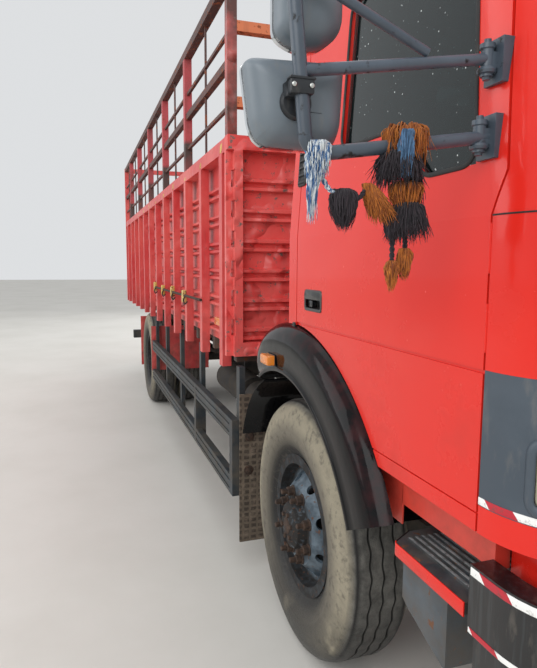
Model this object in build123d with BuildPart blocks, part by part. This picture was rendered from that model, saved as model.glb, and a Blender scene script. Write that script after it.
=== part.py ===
from build123d import *
from math import cos, radians, sin, tan
import os

os.makedirs("parts", exist_ok=True)

# Two axle cab-over truck with a high sided cargo body.
# Millimetres. X forward, Y left, Z up. The origin is on the floor at the middle
# of the length. Stations along the truck are measured from the front axle.

# Main lengths
WHEELBASE = 4700
FRONT_OVERHANG = 1500
REAR_OVERHANG = 2370
LENGTH = FRONT_OVERHANG + WHEELBASE + REAR_OVERHANG
FRONT_AXLE = LENGTH / 2 - FRONT_OVERHANG
REAR_AXLE = FRONT_AXLE - WHEELBASE
SEAT = 0.3
GAP = 6
THROUGH = 3000

# Wheels and tyres, size 10.00 R 20
TYRE_R = 527
TYRE_W = 278
BEAD_R = 256
RIM_FLANGE_R = 292
RIM_W = 196
FRONT_TYRE_Y = 966
TWIN_SPACING = 320
REAR_OUTER_Y = 1031
REAR_INNER_Y = REAR_OUTER_Y - TWIN_SPACING
STUD_COUNT = 8
DISC_HOLE_R = 22
DISC_HOLE_CIRCLE_R = 190
DRUM_R = 205
SPINDLE_R = 40
SPINDLE_PLAY = 0.3

# Front axle and steering
KINGPIN_Y = 772
KINGPIN_R = 22
KINGPIN_BOSS_R = 48
KINGPIN_BOSS = (455, 600)
BEAM_DEPTH = 100
BEAM_BASE = 350
BEAM_WIDTH = 90
STEER_ARM_X = -200
STEER_ARM_Y = KINGPIN_Y
TRACK_ROD_R = 20

# Chassis frame
RAIL_HALF = 430
RAIL_FLANGE = 75
RAIL_WEB = 8
RAIL_TOP = 960
RAIL_DEPTH = 250
RAIL_BASE = RAIL_TOP - RAIL_DEPTH
RAIL_FRONT = FRONT_AXLE + 1330
RAIL_REAR = -LENGTH / 2 + 120
RAIL_IN = RAIL_HALF - RAIL_WEB
CROSS_FLANGE = 60
CROSS_STATIONS = (1200, -760, -1900, -3000, -4050, -5400, -6800)

# Cab shell
CAB_HALF = 1150
CAB_REAR = FRONT_AXLE + 65
CAB_NOSE = FRONT_AXLE + 1450
CAB_WALL = 50
CAB_SKIRT_Z = 1058
CAB_BELT_Z = 1715
CAB_ROOF_Z = 2720
CAB_CORNER_R = 240
CAB_FLOOR_Z = 1250
FLOOR_T = 40
SCREEN_RAKE = 13.5
ROOF_JOINT_Z = 2560

# Wheel arch and black fender
ARCH_X = FRONT_AXLE + 100
ARCH_Z = 530
ARCH_SEAM_R = 862
ARCH_LIP_R = 665
FENDER_CROWN_R = 800
FENDER_Y = CAB_HALF + 50
FENDER_T = 6
FENDER_FRONT_DEG = 27
FENDER_REAR_DEG = 117

# Doors
DOOR_REAR = FRONT_AXLE + 150
DOOR_FRONT = FRONT_AXLE + 1204
DOOR_TOP_Z = 2480
SILL_FRONT_Z = 1824
SILL_REAR_Z = 1975
GLASS_T = 6
GLASS_INSET = 14

# Front of the cab
BAND_Z = (1119, 1405)
SCREEN_Z = (1800, 2490)
BUMPER_Z = (830, 985)
BUMPER_LOW_Z = 600
BUMPER_T = 60
BUMPER_REAR = FRONT_AXLE + 1200

# Entry steps
STEP_X = (FRONT_AXLE + 845, FRONT_AXLE + 1182)
STEP_TOP_Z = 889
STEP_T = 34

# Cargo body
BODY_FRONT = FRONT_AXLE - 700
BODY_REAR = -LENGTH / 2 + 50
BODY_HALF = 1200
POST_DEPTH = 50
POST_WIDTH = 68
POST_WALL = 5
FIRST_POST = 160
POST_PITCH = 530
POST_COUNT = 12
POST_BASE_Z = 1070
BEARER_Z = (1090, 1170)
FLOOR_Z = (1170, 1210)
HEAD_POST_Z = 1140
HEAD_DEPTH = 62
CORNER_POST_Y = BODY_HALF - 80
PANEL_Y = BODY_HALF - POST_DEPTH
RIB_DEPTH = 26
RIB_PITCH = 155
RIB_BASE_Z = 1214
RIB_COUNT = 6
SHEET_T = 5
TOP_RAIL_Z = (2190, 2260)
RACK_TOP_Z = 3050
RACK_TUBE = 50
RACK_Y = (BODY_HALF - 4 - RACK_TUBE, BODY_HALF - 4)

# Mirrors
BAR_X = FRONT_AXLE + 1180
BAR_R = 13


def station(x):
    """Place along the truck for a distance forward of the front axle."""
    return FRONT_AXLE + x


def block(x, y, z):
    """Bar between the low and high values of each pair."""
    with Locations(((x[0] + x[1]) / 2, (y[0] + y[1]) / 2, (z[0] + z[1]) / 2)):
        Box(x[1] - x[0], y[1] - y[0], z[1] - z[0])


def plate(plane, points, thick, mode=Mode.ADD):
    """Flat piece with a straight sided outline, raised from its plane."""
    with BuildSketch(plane) as face:
        with BuildLine():
            Polyline(*points, close=True)
        make_face()
    extrude(face.sketch, amount=thick, mode=mode)


def rod(start, end, radius, mode=Mode.ADD):
    """Round bar between two points."""
    run = Vector(*end) - Vector(*start)
    with BuildSketch(Plane(origin=start, z_dir=run)) as face:
        Circle(radius)
    extrude(face.sketch, amount=run.length, mode=mode)


def save(piece, label):
    piece.part.label = label
    export_step(piece.part, f"parts/{label}.step")


# Chassis rails: two pressed channels with their flanges turned inwards
with BuildPart() as frame_rails:
    with BuildSketch(Plane.YZ.offset(RAIL_REAR)):
        with Locations((RAIL_HALF - RAIL_FLANGE / 2, RAIL_TOP - RAIL_DEPTH / 2)):
            Rectangle(RAIL_FLANGE, RAIL_DEPTH)
        with Locations((RAIL_IN - RAIL_FLANGE / 2, RAIL_TOP - RAIL_DEPTH / 2)):
            Rectangle(RAIL_FLANGE, RAIL_DEPTH - 2 * RAIL_WEB, mode=Mode.SUBTRACT)
    extrude(amount=RAIL_FRONT - RAIL_REAR)
    mirror(about=Plane.XZ)
save(frame_rails, "frame_rails")

# Cross members: channels that stand between the webs of the rails
CROSS_DEPTH = RAIL_DEPTH - 2 * RAIL_WEB - 2 * SEAT
with BuildPart() as frame_crossmembers:
    with BuildSketch(Plane.XZ.offset(-RAIL_IN)):
        for x in CROSS_STATIONS:
            with Locations((station(x), RAIL_TOP - RAIL_DEPTH / 2)):
                Rectangle(CROSS_FLANGE, CROSS_DEPTH)
            with Locations((station(x) + RAIL_WEB, RAIL_TOP - RAIL_DEPTH / 2)):
                Rectangle(CROSS_FLANGE, CROSS_DEPTH - 2 * RAIL_WEB, mode=Mode.SUBTRACT)
    extrude(amount=2 * RAIL_IN)
save(frame_crossmembers, "frame_crossmembers")

# Axles: a dropped front beam with kingpin eyes and a rear banjo housing
AXLE_END_Y = REAR_INNER_Y - TYRE_W / 2 - 20
with BuildPart() as axles:
    eye_z = sum(KINGPIN_BOSS) / 2
    with BuildSketch(Plane.YZ.offset(FRONT_AXLE - BEAM_WIDTH / 2)):
        with BuildLine():
            Polyline(
                (-KINGPIN_Y, eye_z + BEAM_DEPTH / 2), (-KINGPIN_Y, eye_z - BEAM_DEPTH / 2),
                (-KINGPIN_Y + 110, eye_z - BEAM_DEPTH / 2), (-500, BEAM_BASE),
                (500, BEAM_BASE), (KINGPIN_Y - 110, eye_z - BEAM_DEPTH / 2),
                (KINGPIN_Y, eye_z - BEAM_DEPTH / 2), (KINGPIN_Y, eye_z + BEAM_DEPTH / 2),
                (KINGPIN_Y - 130, eye_z + BEAM_DEPTH / 2), (470, BEAM_BASE + BEAM_DEPTH),
                (-470, BEAM_BASE + BEAM_DEPTH), (-KINGPIN_Y + 130, eye_z + BEAM_DEPTH / 2),
                close=True,
            )
        make_face()
    extrude(amount=BEAM_WIDTH)
    with Locations((FRONT_AXLE, KINGPIN_Y, eye_z), (FRONT_AXLE, -KINGPIN_Y, eye_z)):
        Cylinder(KINGPIN_BOSS_R, KINGPIN_BOSS[1] - KINGPIN_BOSS[0])
    with Locations((FRONT_AXLE, KINGPIN_Y, eye_z), (FRONT_AXLE, -KINGPIN_Y, eye_z)):
        Cylinder(KINGPIN_R + SPINDLE_PLAY, KINGPIN_BOSS[1] - KINGPIN_BOSS[0], mode=Mode.SUBTRACT)
    rod((REAR_AXLE, -AXLE_END_Y, TYRE_R), (REAR_AXLE, AXLE_END_Y, TYRE_R), 72)
    rod((REAR_AXLE, -REAR_OUTER_Y + 60, TYRE_R), (REAR_AXLE, REAR_OUTER_Y - 60, TYRE_R), SPINDLE_R)
    with BuildSketch(Plane.YZ.offset(REAR_AXLE)):
        with Locations((0, TYRE_R)):
            Circle(205)
    extrude(amount=110, both=True, taper=18)
save(axles, "axles")

# Leaf springs: a pack of leaves, thick at the middle, with hangers to the rails
SPRINGS = (
    # axle, offset from the middle, half span, seat height, pack depth, eye height
    (FRONT_AXLE, RAIL_HALF - RAIL_FLANGE / 2, 720, BEAM_BASE + BEAM_DEPTH + SEAT, 84, 640),
    (REAR_AXLE, 484, 760, TYRE_R + 72 + SEAT, 96, 676),
)
SPRING_WIDTH = 76
with BuildPart() as leaf_springs:
    for x, y, half, seat_z, depth, eye in SPRINGS:
        with BuildSketch(Plane.XZ.offset(-y - SPRING_WIDTH / 2)):
            with BuildLine():
                Line((x - half, eye), (x - half, eye - 14))
                Polyline((x - half, eye - 14), (x - 60, seat_z), (x + 60, seat_z),
                         (x + half, eye - 14), (x + half, eye))
                ThreePointArc((x + half, eye), (x, seat_z + depth), (x - half, eye))
            make_face()
        extrude(amount=SPRING_WIDTH)
        sides = (y - SPRING_WIDTH / 2, y + SPRING_WIDTH / 2)
        for eye_x in (x - half, x + half):
            rod((eye_x, sides[0], eye), (eye_x, sides[1], eye), 24)
            block((eye_x - 22, eye_x + 22), sides, (eye, RAIL_BASE if y < RAIL_HALF else RAIL_BASE + 60))
    mirror(about=Plane.XZ)
save(leaf_springs, "leaf_springs")

# Engine: one plain block at its real place, with feet on the rail webs
ENGINE_HALF = 310
with BuildPart() as engine_block:
    block((station(170), station(1120)), (-ENGINE_HALF, ENGINE_HALF), (520, 1130))
    for x in (300, 950):
        block((station(x), station(x + 90)), (-RAIL_IN + SEAT, RAIL_IN - SEAT), (780, 850))
save(engine_block, "engine_block")

# Gearbox and propeller shaft
SHAFT_FRONT = (station(-720), 0, 640)
SHAFT_REAR = (REAR_AXLE + 112, 0, TYRE_R + 20)
with BuildPart() as driveline:
    with BuildSketch(Plane.YZ.offset(station(170) - SEAT)):
        with Locations((0, 700)):
            Rectangle(500, 400)
    with BuildSketch(Plane.YZ.offset(station(-560))):
        with Locations((0, 650)):
            Rectangle(240, 240)
    loft()
    rod((station(-560), 0, 640), SHAFT_FRONT, 80)
    rod(SHAFT_FRONT, SHAFT_REAR, 52)
save(driveline, "driveline")

# Silencer with its pipe, on the left
with BuildPart() as silencer:
    rod((station(-1650), 640, 560), (station(-950), 640, 560), 135)
    rod((station(-1700), 640, 560), (station(-900), 640, 560), 45)
    rod((station(-900), 640, 560), (station(-720), 560, 505), 45)
    rod((station(-720), 560, 505), (station(-560), 290, 500), 45)
    for x in (-1500, -1100):
        block((station(x), station(x + 40)), (RAIL_HALF + SEAT, 560), (600, 800))
save(silencer, "silencer")

# Fuel tank on the left, air tanks on the right
with BuildPart() as fuel_tank:
    with BuildSketch(Plane.YZ.offset(station(-3100))):
        with Locations((760, 640)):
            RectangleRounded(520, 480, 90)
    extrude(amount=1100)
    for x in (-2950, -2250):
        block((station(x), station(x + 50)), (RAIL_HALF + SEAT, 520), (700, 900))
save(fuel_tank, "fuel_tank")

with BuildPart() as air_tanks:
    for x in (-1150, -2050):
        rod((station(x), -640, 620), (station(x - 780), -640, 620), 125)
        for offset in (-180, -600):
            block((station(x + offset), station(x + offset + 40)), (-560, -RAIL_HALF - SEAT), (650, 860))
save(air_tanks, "air_tanks")


# Plan sections of the cab: height, nose ahead of the front axle, half width,
# front corner radius
CAB_SECTIONS = (
    (CAB_SKIRT_Z, 1450, CAB_HALF, CAB_CORNER_R),
    (CAB_BELT_Z, 1450, CAB_HALF, CAB_CORNER_R),
    (ROOF_JOINT_Z, 1250, CAB_HALF - 58, CAB_CORNER_R - 20),
    (CAB_ROOF_Z - 60, 1196, CAB_HALF - 92, CAB_CORNER_R - 40),
    (CAB_ROOF_Z, 1060, CAB_HALF - 210, CAB_CORNER_R - 80),
)


def nose_plan(rear, nose, half, radius):
    """Plan outline that is square at the back and rounded at the front corners."""
    with BuildSketch() as plan:
        with Locations(((rear + nose) / 2, 0)):
            Rectangle(nose - rear, 2 * half)
        fillet(plan.vertices().group_by(Axis.X)[-1], radius)
    return plan.sketch


def cab_block(inset):
    """Solid with the cab's outer form, drawn in by an even amount on every side."""
    faces = []
    for z, nose, half, radius in CAB_SECTIONS:
        drop = inset if z > ROOF_JOINT_Z else 0
        outline = nose_plan(CAB_REAR + inset, station(nose) - inset, half - inset, radius - inset)
        faces.append(Pos(0, 0, z - drop) * outline.face())
    with BuildPart() as form:
        for low, high in zip(faces, faces[1:]):
            loft([low, high], ruled=True)
    return form.part


CAB_OUTER = cab_block(0)
CAB_SHELL = CAB_OUTER - cab_block(CAB_WALL)
GLASS_SHELL = cab_block(GLASS_INSET) - cab_block(GLASS_INSET + GLASS_T)


def cab_side(z):
    """Half width of the cab at a height above the belt."""
    rise = (z - CAB_BELT_Z) / (ROOF_JOINT_Z - CAB_BELT_Z)
    return CAB_HALF - rise * (CAB_HALF - CAB_SECTIONS[2][2])


def arch_disc(radius):
    """Round bar across the whole cab at the wheel arch."""
    with BuildPart() as disc:
        with BuildSketch(Plane.XZ.offset(-CAB_HALF - 100)):
            with Locations((ARCH_X, ARCH_Z)):
                Circle(radius)
        extrude(amount=2 * CAB_HALF + 200)
    return disc.part


# Door outline, seen from the side. The front edge follows the screen pillar.
DOOR_LEAN = tan(radians(7.4))
PILLAR_KNEE_Z = 1800


def door_outline(grow):
    """Outline of the door opening, made larger by an even amount."""
    front_top = DOOR_FRONT + 28 - DOOR_LEAN * (DOOR_TOP_Z - PILLAR_KNEE_Z)
    return [
        (DOOR_REAR - grow, CAB_SKIRT_Z - grow), (DOOR_FRONT + grow, CAB_SKIRT_Z - grow),
        (DOOR_FRONT + grow, CAB_BELT_Z), (DOOR_FRONT + 28 + grow, PILLAR_KNEE_Z),
        (front_top + grow, DOOR_TOP_Z + grow), (DOOR_REAR - grow, DOOR_TOP_Z + grow),
    ]


def window_outline(shrink):
    """Outline of the side window, which dips towards the front."""
    front_top = DOOR_FRONT - 62 - DOOR_LEAN * (DOOR_TOP_Z - 60 - PILLAR_KNEE_Z)
    return [
        (station(470) + shrink, SILL_REAR_Z + shrink), (station(820), SILL_REAR_Z - 8 + shrink),
        (station(950), SILL_FRONT_Z + shrink), (DOOR_FRONT - 62 - shrink, SILL_FRONT_Z + shrink),
        (front_top - shrink, DOOR_TOP_Z - 60 - shrink),
        (station(470) + shrink, DOOR_TOP_Z - 60 - shrink),
    ]


def screen_outline(shrink):
    """Outline of the windscreen opening seen from the side. It wraps the corners."""
    lean = tan(radians(SCREEN_RAKE - 5))
    rear = station(1318)
    return [
        (rear + shrink, SCREEN_Z[0] + shrink), (CAB_NOSE + 50, SCREEN_Z[0] + shrink),
        (CAB_NOSE + 50, SCREEN_Z[1] - shrink),
        (rear - lean * (SCREEN_Z[1] - SCREEN_Z[0]) + shrink, SCREEN_Z[1] - shrink),
    ]


def side_prism(points, low_y, high_y):
    """Solid between two side planes with an outline seen from the side."""
    with BuildPart() as prism:
        plate(Plane.XZ.offset(-high_y), points, high_y - low_y)
    return prism.part


# Door shell, cut round the wheel arch, with its window, crease and handle pocket
DOOR_SPAN = (-CAB_HALF - 60, -CAB_HALF + 160)
DOOR_CREASES = ((1097, 1101), (1396, 1404))
CREASE_DEPTH = 5
HANDLE_X = (station(227), station(379))
HANDLE_POCKET = (
    # low and high edge, depth
    (1455, 1500, 28),
    (1500, 1528, 4),
)
with BuildPart() as door_right:
    add(CAB_SHELL)
    add(side_prism(door_outline(0), *DOOR_SPAN), mode=Mode.INTERSECT)
    add(arch_disc(ARCH_SEAM_R + GAP), mode=Mode.SUBTRACT)
    add(side_prism(window_outline(0), *DOOR_SPAN), mode=Mode.SUBTRACT)
    for low, high in DOOR_CREASES:
        with Locations(((DOOR_REAR + DOOR_FRONT) / 2, -CAB_HALF, (low + high) / 2)):
            Box(DOOR_FRONT - DOOR_REAR, 2 * CREASE_DEPTH, high - low, mode=Mode.SUBTRACT)
    for low, high, depth in HANDLE_POCKET:
        with Locations((sum(HANDLE_X) / 2, -CAB_HALF, (low + high) / 2)):
            Box(HANDLE_X[1] - HANDLE_X[0], 2 * depth, high - low, mode=Mode.SUBTRACT)
with BuildPart() as door_glass_right:
    add(GLASS_SHELL)
    add(side_prism(window_outline(SEAT), *DOOR_SPAN), mode=Mode.INTERSECT)
with BuildPart() as door_left:
    mirror(door_right.part, about=Plane.XZ)
with BuildPart() as door_glass_left:
    mirror(door_glass_right.part, about=Plane.XZ)
save(door_right, "door_right")
save(door_left, "door_left")
save(door_glass_right, "door_glass_right")
save(door_glass_left, "door_glass_left")

# Cab frame: pillars, window header and rear side strips, one welded piece
with BuildPart() as cab_frame:
    add(CAB_SHELL)
    add(side_prism(door_outline(GAP), -CAB_HALF - 60, CAB_HALF + 60), mode=Mode.SUBTRACT)
    add(arch_disc(ARCH_SEAM_R + SEAT), mode=Mode.SUBTRACT)
    add(side_prism(screen_outline(0), -CAB_HALF - 60, CAB_HALF + 60), mode=Mode.SUBTRACT)
    with Locations(((CAB_REAR + CAB_NOSE) / 2, 0, ROOF_JOINT_Z + 300)):
        Box(THROUGH, THROUGH, 600, mode=Mode.SUBTRACT)
    with Locations((CAB_NOSE - 300, 0, CAB_BELT_Z - 500)):
        Box(900, THROUGH, 1000 + 2 * SEAT, mode=Mode.SUBTRACT)
    with Locations((CAB_REAR + (CAB_WALL + SEAT) / 2, 0, 2000)):
        Box(CAB_WALL + SEAT, THROUGH, THROUGH, mode=Mode.SUBTRACT)
save(cab_frame, "cab_frame")

# Roof
with BuildPart() as cab_roof:
    add(CAB_SHELL)
    with Locations(((CAB_REAR + CAB_NOSE) / 2, 0, ROOF_JOINT_Z + SEAT + 300)):
        Box(THROUGH, THROUGH, 600, mode=Mode.INTERSECT)
save(cab_roof, "cab_roof")

# Back wall with its window
BACK_WINDOW = (1100, 420, 2130)
with BuildPart() as cab_back_wall:
    add(CAB_SHELL)
    with Locations((CAB_REAR + CAB_WALL / 2, 0, (CAB_SKIRT_Z + ROOF_JOINT_Z) / 2)):
        Box(CAB_WALL, THROUGH, ROOF_JOINT_Z - CAB_SKIRT_Z, mode=Mode.INTERSECT)
    add(arch_disc(ARCH_SEAM_R + SEAT), mode=Mode.SUBTRACT)
    with BuildSketch(Plane.YZ.offset(CAB_REAR - 20)):
        with Locations((0, BACK_WINDOW[2])):
            RectangleRounded(BACK_WINDOW[0], BACK_WINDOW[1], 60)
    extrude(amount=CAB_WALL + 60, mode=Mode.SUBTRACT)
save(cab_back_wall, "cab_back_wall")

# Windscreen and back window
with BuildPart() as cab_glass:
    add(GLASS_SHELL)
    add(side_prism(screen_outline(SEAT), -CAB_HALF - 60, CAB_HALF + 60), mode=Mode.INTERSECT)
    with BuildSketch(Plane.YZ.offset(CAB_REAR + 22)):
        with Locations((0, BACK_WINDOW[2])):
            RectangleRounded(BACK_WINDOW[0] - 2 * SEAT, BACK_WINDOW[1] - 2 * SEAT, 60 - SEAT)
    extrude(amount=GLASS_T)
save(cab_glass, "cab_glass")

# Front panel below the windscreen, open where the plastic band stands
DOOR_PIN_R = GAP / 2 - SEAT
DOOR_PIN_X = DOOR_FRONT + GAP / 2
DOOR_HINGE_Z = ((1440, 1540), (1600, 1700))
NOSE_BOX = (DOOR_FRONT + GAP, CAB_NOSE + 50)
with BuildPart() as cab_front:
    add(CAB_SHELL)
    with Locations((sum(NOSE_BOX) / 2, 0, (CAB_SKIRT_Z + CAB_BELT_Z) / 2)):
        Box(NOSE_BOX[1] - NOSE_BOX[0], THROUGH, CAB_BELT_Z - CAB_SKIRT_Z, mode=Mode.INTERSECT)
    with Locations((sum(NOSE_BOX) / 2, 0, sum(BAND_Z) / 2)):
        Box(NOSE_BOX[1] - NOSE_BOX[0], THROUGH, BAND_Z[1] - BAND_Z[0], mode=Mode.SUBTRACT)
    for low, high in DOOR_HINGE_Z:
        for side in (-1, 1):
            rod((DOOR_PIN_X, side * CAB_HALF, low), (DOOR_PIN_X, side * CAB_HALF, high), DOOR_PIN_R)
            web = (side * CAB_HALF, side * (CAB_HALF - 5))
            block((DOOR_PIN_X, DOOR_FRONT + GAP + 1), (min(web), max(web)), (low, high))
save(cab_front, "cab_front")

# Plastic band with the headlamp openings
HEADLAMP = (360, 190, 720, 1262)
CORNER_LAMP = (FRONT_AXLE + 1370, 100, 136, 1216)
CORNER_LAMP_Y = (CAB_HALF - 70, 200)
with BuildPart() as front_band:
    add(CAB_SHELL)
    with Locations((sum(NOSE_BOX) / 2, 0, sum(BAND_Z) / 2)):
        Box(NOSE_BOX[1] - NOSE_BOX[0], THROUGH, BAND_Z[1] - BAND_Z[0] - 2 * SEAT, mode=Mode.INTERSECT)
    with BuildSketch(Plane.YZ.offset(CAB_NOSE - 100)):
        with Locations((HEADLAMP[2], HEADLAMP[3]), (-HEADLAMP[2], HEADLAMP[3])):
            RectangleRounded(HEADLAMP[0], HEADLAMP[1], 30)
    extrude(amount=200, mode=Mode.SUBTRACT)
    for side in (-1, 1):
        with Locations((CORNER_LAMP[0], side * CORNER_LAMP_Y[0], CORNER_LAMP[3])):
            Box(CORNER_LAMP[1], CORNER_LAMP_Y[1], CORNER_LAMP[2], mode=Mode.SUBTRACT)
save(front_band, "front_band")

# Headlamps and the lamps that wrap the corners
with BuildPart() as front_lamps:
    add(cab_block(10) - cab_block(CAB_WALL))
    with BuildSketch(Plane.YZ.offset(CAB_NOSE - 100)) as lamp_faces:
        with Locations((HEADLAMP[2], HEADLAMP[3]), (-HEADLAMP[2], HEADLAMP[3])):
            RectangleRounded(HEADLAMP[0] - 2 * SEAT, HEADLAMP[1] - 2 * SEAT, 30 - SEAT)
    lamp_faces_solid = extrude(lamp_faces.sketch, amount=200, mode=Mode.PRIVATE)
    with Locations((CORNER_LAMP[0], CORNER_LAMP_Y[0], CORNER_LAMP[3]),
                   (CORNER_LAMP[0], -CORNER_LAMP_Y[0], CORNER_LAMP[3])):
        corner_solids = Box(CORNER_LAMP[1] - 2 * SEAT, CORNER_LAMP_Y[1] - 2 * SEAT,
                            CORNER_LAMP[2] - 2 * SEAT, mode=Mode.PRIVATE)
    add(lamp_faces_solid + corner_solids, mode=Mode.INTERSECT)
save(front_lamps, "front_lamps")

# Floor with the engine tunnel and the inner sills behind the door skirts
TUNNEL_HALF = 360
TUNNEL_TOP_Z = 1420
FLOOR_HALF = CAB_HALF - CAB_WALL - GAP
SILL_BASE_Z = 960
with BuildPart() as cab_floor:
    with BuildSketch(Plane.YZ.offset(CAB_REAR + CAB_WALL + SEAT)):
        with BuildLine():
            Polyline(
                (-FLOOR_HALF, CAB_FLOOR_Z), (-TUNNEL_HALF, CAB_FLOOR_Z),
                (-TUNNEL_HALF + 40, TUNNEL_TOP_Z), (TUNNEL_HALF - 40, TUNNEL_TOP_Z),
                (TUNNEL_HALF, CAB_FLOOR_Z), (FLOOR_HALF, CAB_FLOOR_Z),
                (FLOOR_HALF, CAB_FLOOR_Z - FLOOR_T), (TUNNEL_HALF - FLOOR_T, CAB_FLOOR_Z - FLOOR_T),
                (TUNNEL_HALF - 40 - FLOOR_T, TUNNEL_TOP_Z - FLOOR_T),
                (-TUNNEL_HALF + 40 + FLOOR_T, TUNNEL_TOP_Z - FLOOR_T),
                (-TUNNEL_HALF + FLOOR_T, CAB_FLOOR_Z - FLOOR_T), (-FLOOR_HALF, CAB_FLOOR_Z - FLOOR_T),
                close=True,
            )
        make_face()
    extrude(amount=DOOR_FRONT + GAP - CAB_REAR - CAB_WALL)
    for side in (-1, 1):
        edge = (side * FLOOR_HALF, side * (FLOOR_HALF - 40))
        block((station(830), DOOR_FRONT), (min(edge), max(edge)), (SILL_BASE_Z, CAB_FLOOR_Z - FLOOR_T))
        foot = (side * (RAIL_HALF - 60), side * RAIL_HALF)
        foot_z = (RAIL_TOP + SEAT, CAB_FLOOR_Z - FLOOR_T)
        for x in (130, 1130):
            block((station(x), station(x + 70)), (min(foot), max(foot)), foot_z)
save(cab_floor, "cab_floor")


def arch_sweep(x, z, points, start, end):
    """Section of radius and offset to the left, turned about a cross axis at a place."""
    a = radians(start)
    section = Plane(origin=(x, 0, z), x_dir=(cos(a), 0, sin(a)), z_dir=(-sin(a), 0, cos(a)))
    with BuildSketch(section) as face:
        with BuildLine():
            Polyline(*points, close=True)
        make_face()
    revolve(face.sketch, axis=Axis((x, 0, z), (0, -1, 0)), revolution_arc=end - start)


# Black fenders over the front wheels and the liners that carry on behind them.
# A liner stands clear of the tyre's outer shoulder at every steering angle.
FENDER_IN_Y = 800
LINER_X = FRONT_AXLE - 18
LINER_R = TYRE_R + 90
LINER_DEG = (111, 158)
LINER_ARM_X = FRONT_AXLE - 584
with BuildPart() as front_fenders:
    arch_sweep(ARCH_X, ARCH_Z, [
        (ARCH_LIP_R, FENDER_IN_Y), (ARCH_LIP_R, FENDER_Y - 14), (ARCH_LIP_R + 12, FENDER_Y),
        (FENDER_CROWN_R, FENDER_Y), (FENDER_CROWN_R + 44, FENDER_Y - 22),
        (ARCH_SEAM_R, CAB_HALF - 2), (ARCH_SEAM_R, CAB_HALF - 30),
        (ARCH_SEAM_R - FENDER_T, CAB_HALF - 30), (ARCH_SEAM_R - FENDER_T, CAB_HALF - 6),
        (FENDER_CROWN_R + 38, FENDER_Y - 26), (FENDER_CROWN_R - 2, FENDER_Y - FENDER_T),
        (ARCH_LIP_R + 15, FENDER_Y - FENDER_T), (ARCH_LIP_R + FENDER_T, FENDER_Y - 17),
        (ARCH_LIP_R + FENDER_T, FENDER_IN_Y),
    ], FENDER_FRONT_DEG, FENDER_REAR_DEG)
    arch_sweep(LINER_X, TYRE_R, [
        (LINER_R, FENDER_IN_Y), (LINER_R, CAB_HALF), (LINER_R + FENDER_T, CAB_HALF),
        (LINER_R + FENDER_T, FENDER_IN_Y),
    ], *LINER_DEG)
    block((LINER_ARM_X, LINER_ARM_X + 26), (RAIL_HALF + SEAT, FENDER_IN_Y + 30), (800, 840))
    mirror(about=Plane.XZ)
save(front_fenders, "front_fenders")

# Amber lamps on the fenders and red lamps at the tail
LAMP_Z = 1240
with BuildPart() as marker_lamps:
    for side in (-1, 1):
        with Locations((station(0), side * (FENDER_Y + 11 + SEAT), LAMP_Z)):
            Box(100, 22, 44)
        with Locations((BODY_REAR - 20 - SEAT, side * 900, (POST_BASE_Z + FLOOR_Z[1]) / 2)):
            Box(40, 300, 100)
save(marker_lamps, "marker_lamps")

# Bumper: a deep wrapped bar with a lower part that is set back
BUMPER_HALF = CAB_HALF + 5
BUMPER_SET_BACK = 18
BUMPER_R = CAB_CORNER_R - 20
with BuildPart() as front_bumper:
    for inset, z in ((0, BUMPER_Z), (BUMPER_SET_BACK, (BUMPER_LOW_Z, BUMPER_Z[0]))):
        skin = inset + BUMPER_T
        with BuildSketch(Plane.XY.offset(z[0])):
            add(nose_plan(BUMPER_REAR, LENGTH / 2 - inset, BUMPER_HALF - inset, BUMPER_R - inset))
            add(nose_plan(BUMPER_REAR - 1, LENGTH / 2 - skin, BUMPER_HALF - skin, BUMPER_R - skin),
                mode=Mode.SUBTRACT)
        extrude(amount=z[1] - z[0])
    for side in (-1, 1):
        arm = (side * (RAIL_HALF - RAIL_FLANGE), side * RAIL_HALF)
        block((RAIL_FRONT + SEAT, LENGTH / 2 - BUMPER_T + 10), (min(arm), max(arm)),
              (BUMPER_Z[0] - 60, BUMPER_Z[1] - 64))
save(front_bumper, "front_bumper")

# Valance behind the bumper, hung from the cab front
VALANCE_T = 26
with BuildPart() as front_valance:
    with BuildSketch(Plane.XY.offset(BUMPER_Z[1] - 60)):
        add(nose_plan(DOOR_FRONT + GAP, CAB_NOSE - 44, CAB_HALF - 94, 140))
        add(nose_plan(DOOR_FRONT, CAB_NOSE - 44 - VALANCE_T, CAB_HALF - 94 - VALANCE_T, 140 - VALANCE_T),
            mode=Mode.SUBTRACT)
    extrude(amount=CAB_SKIRT_Z - BUMPER_Z[1] + 60 - SEAT)
save(front_valance, "front_valance")

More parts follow.
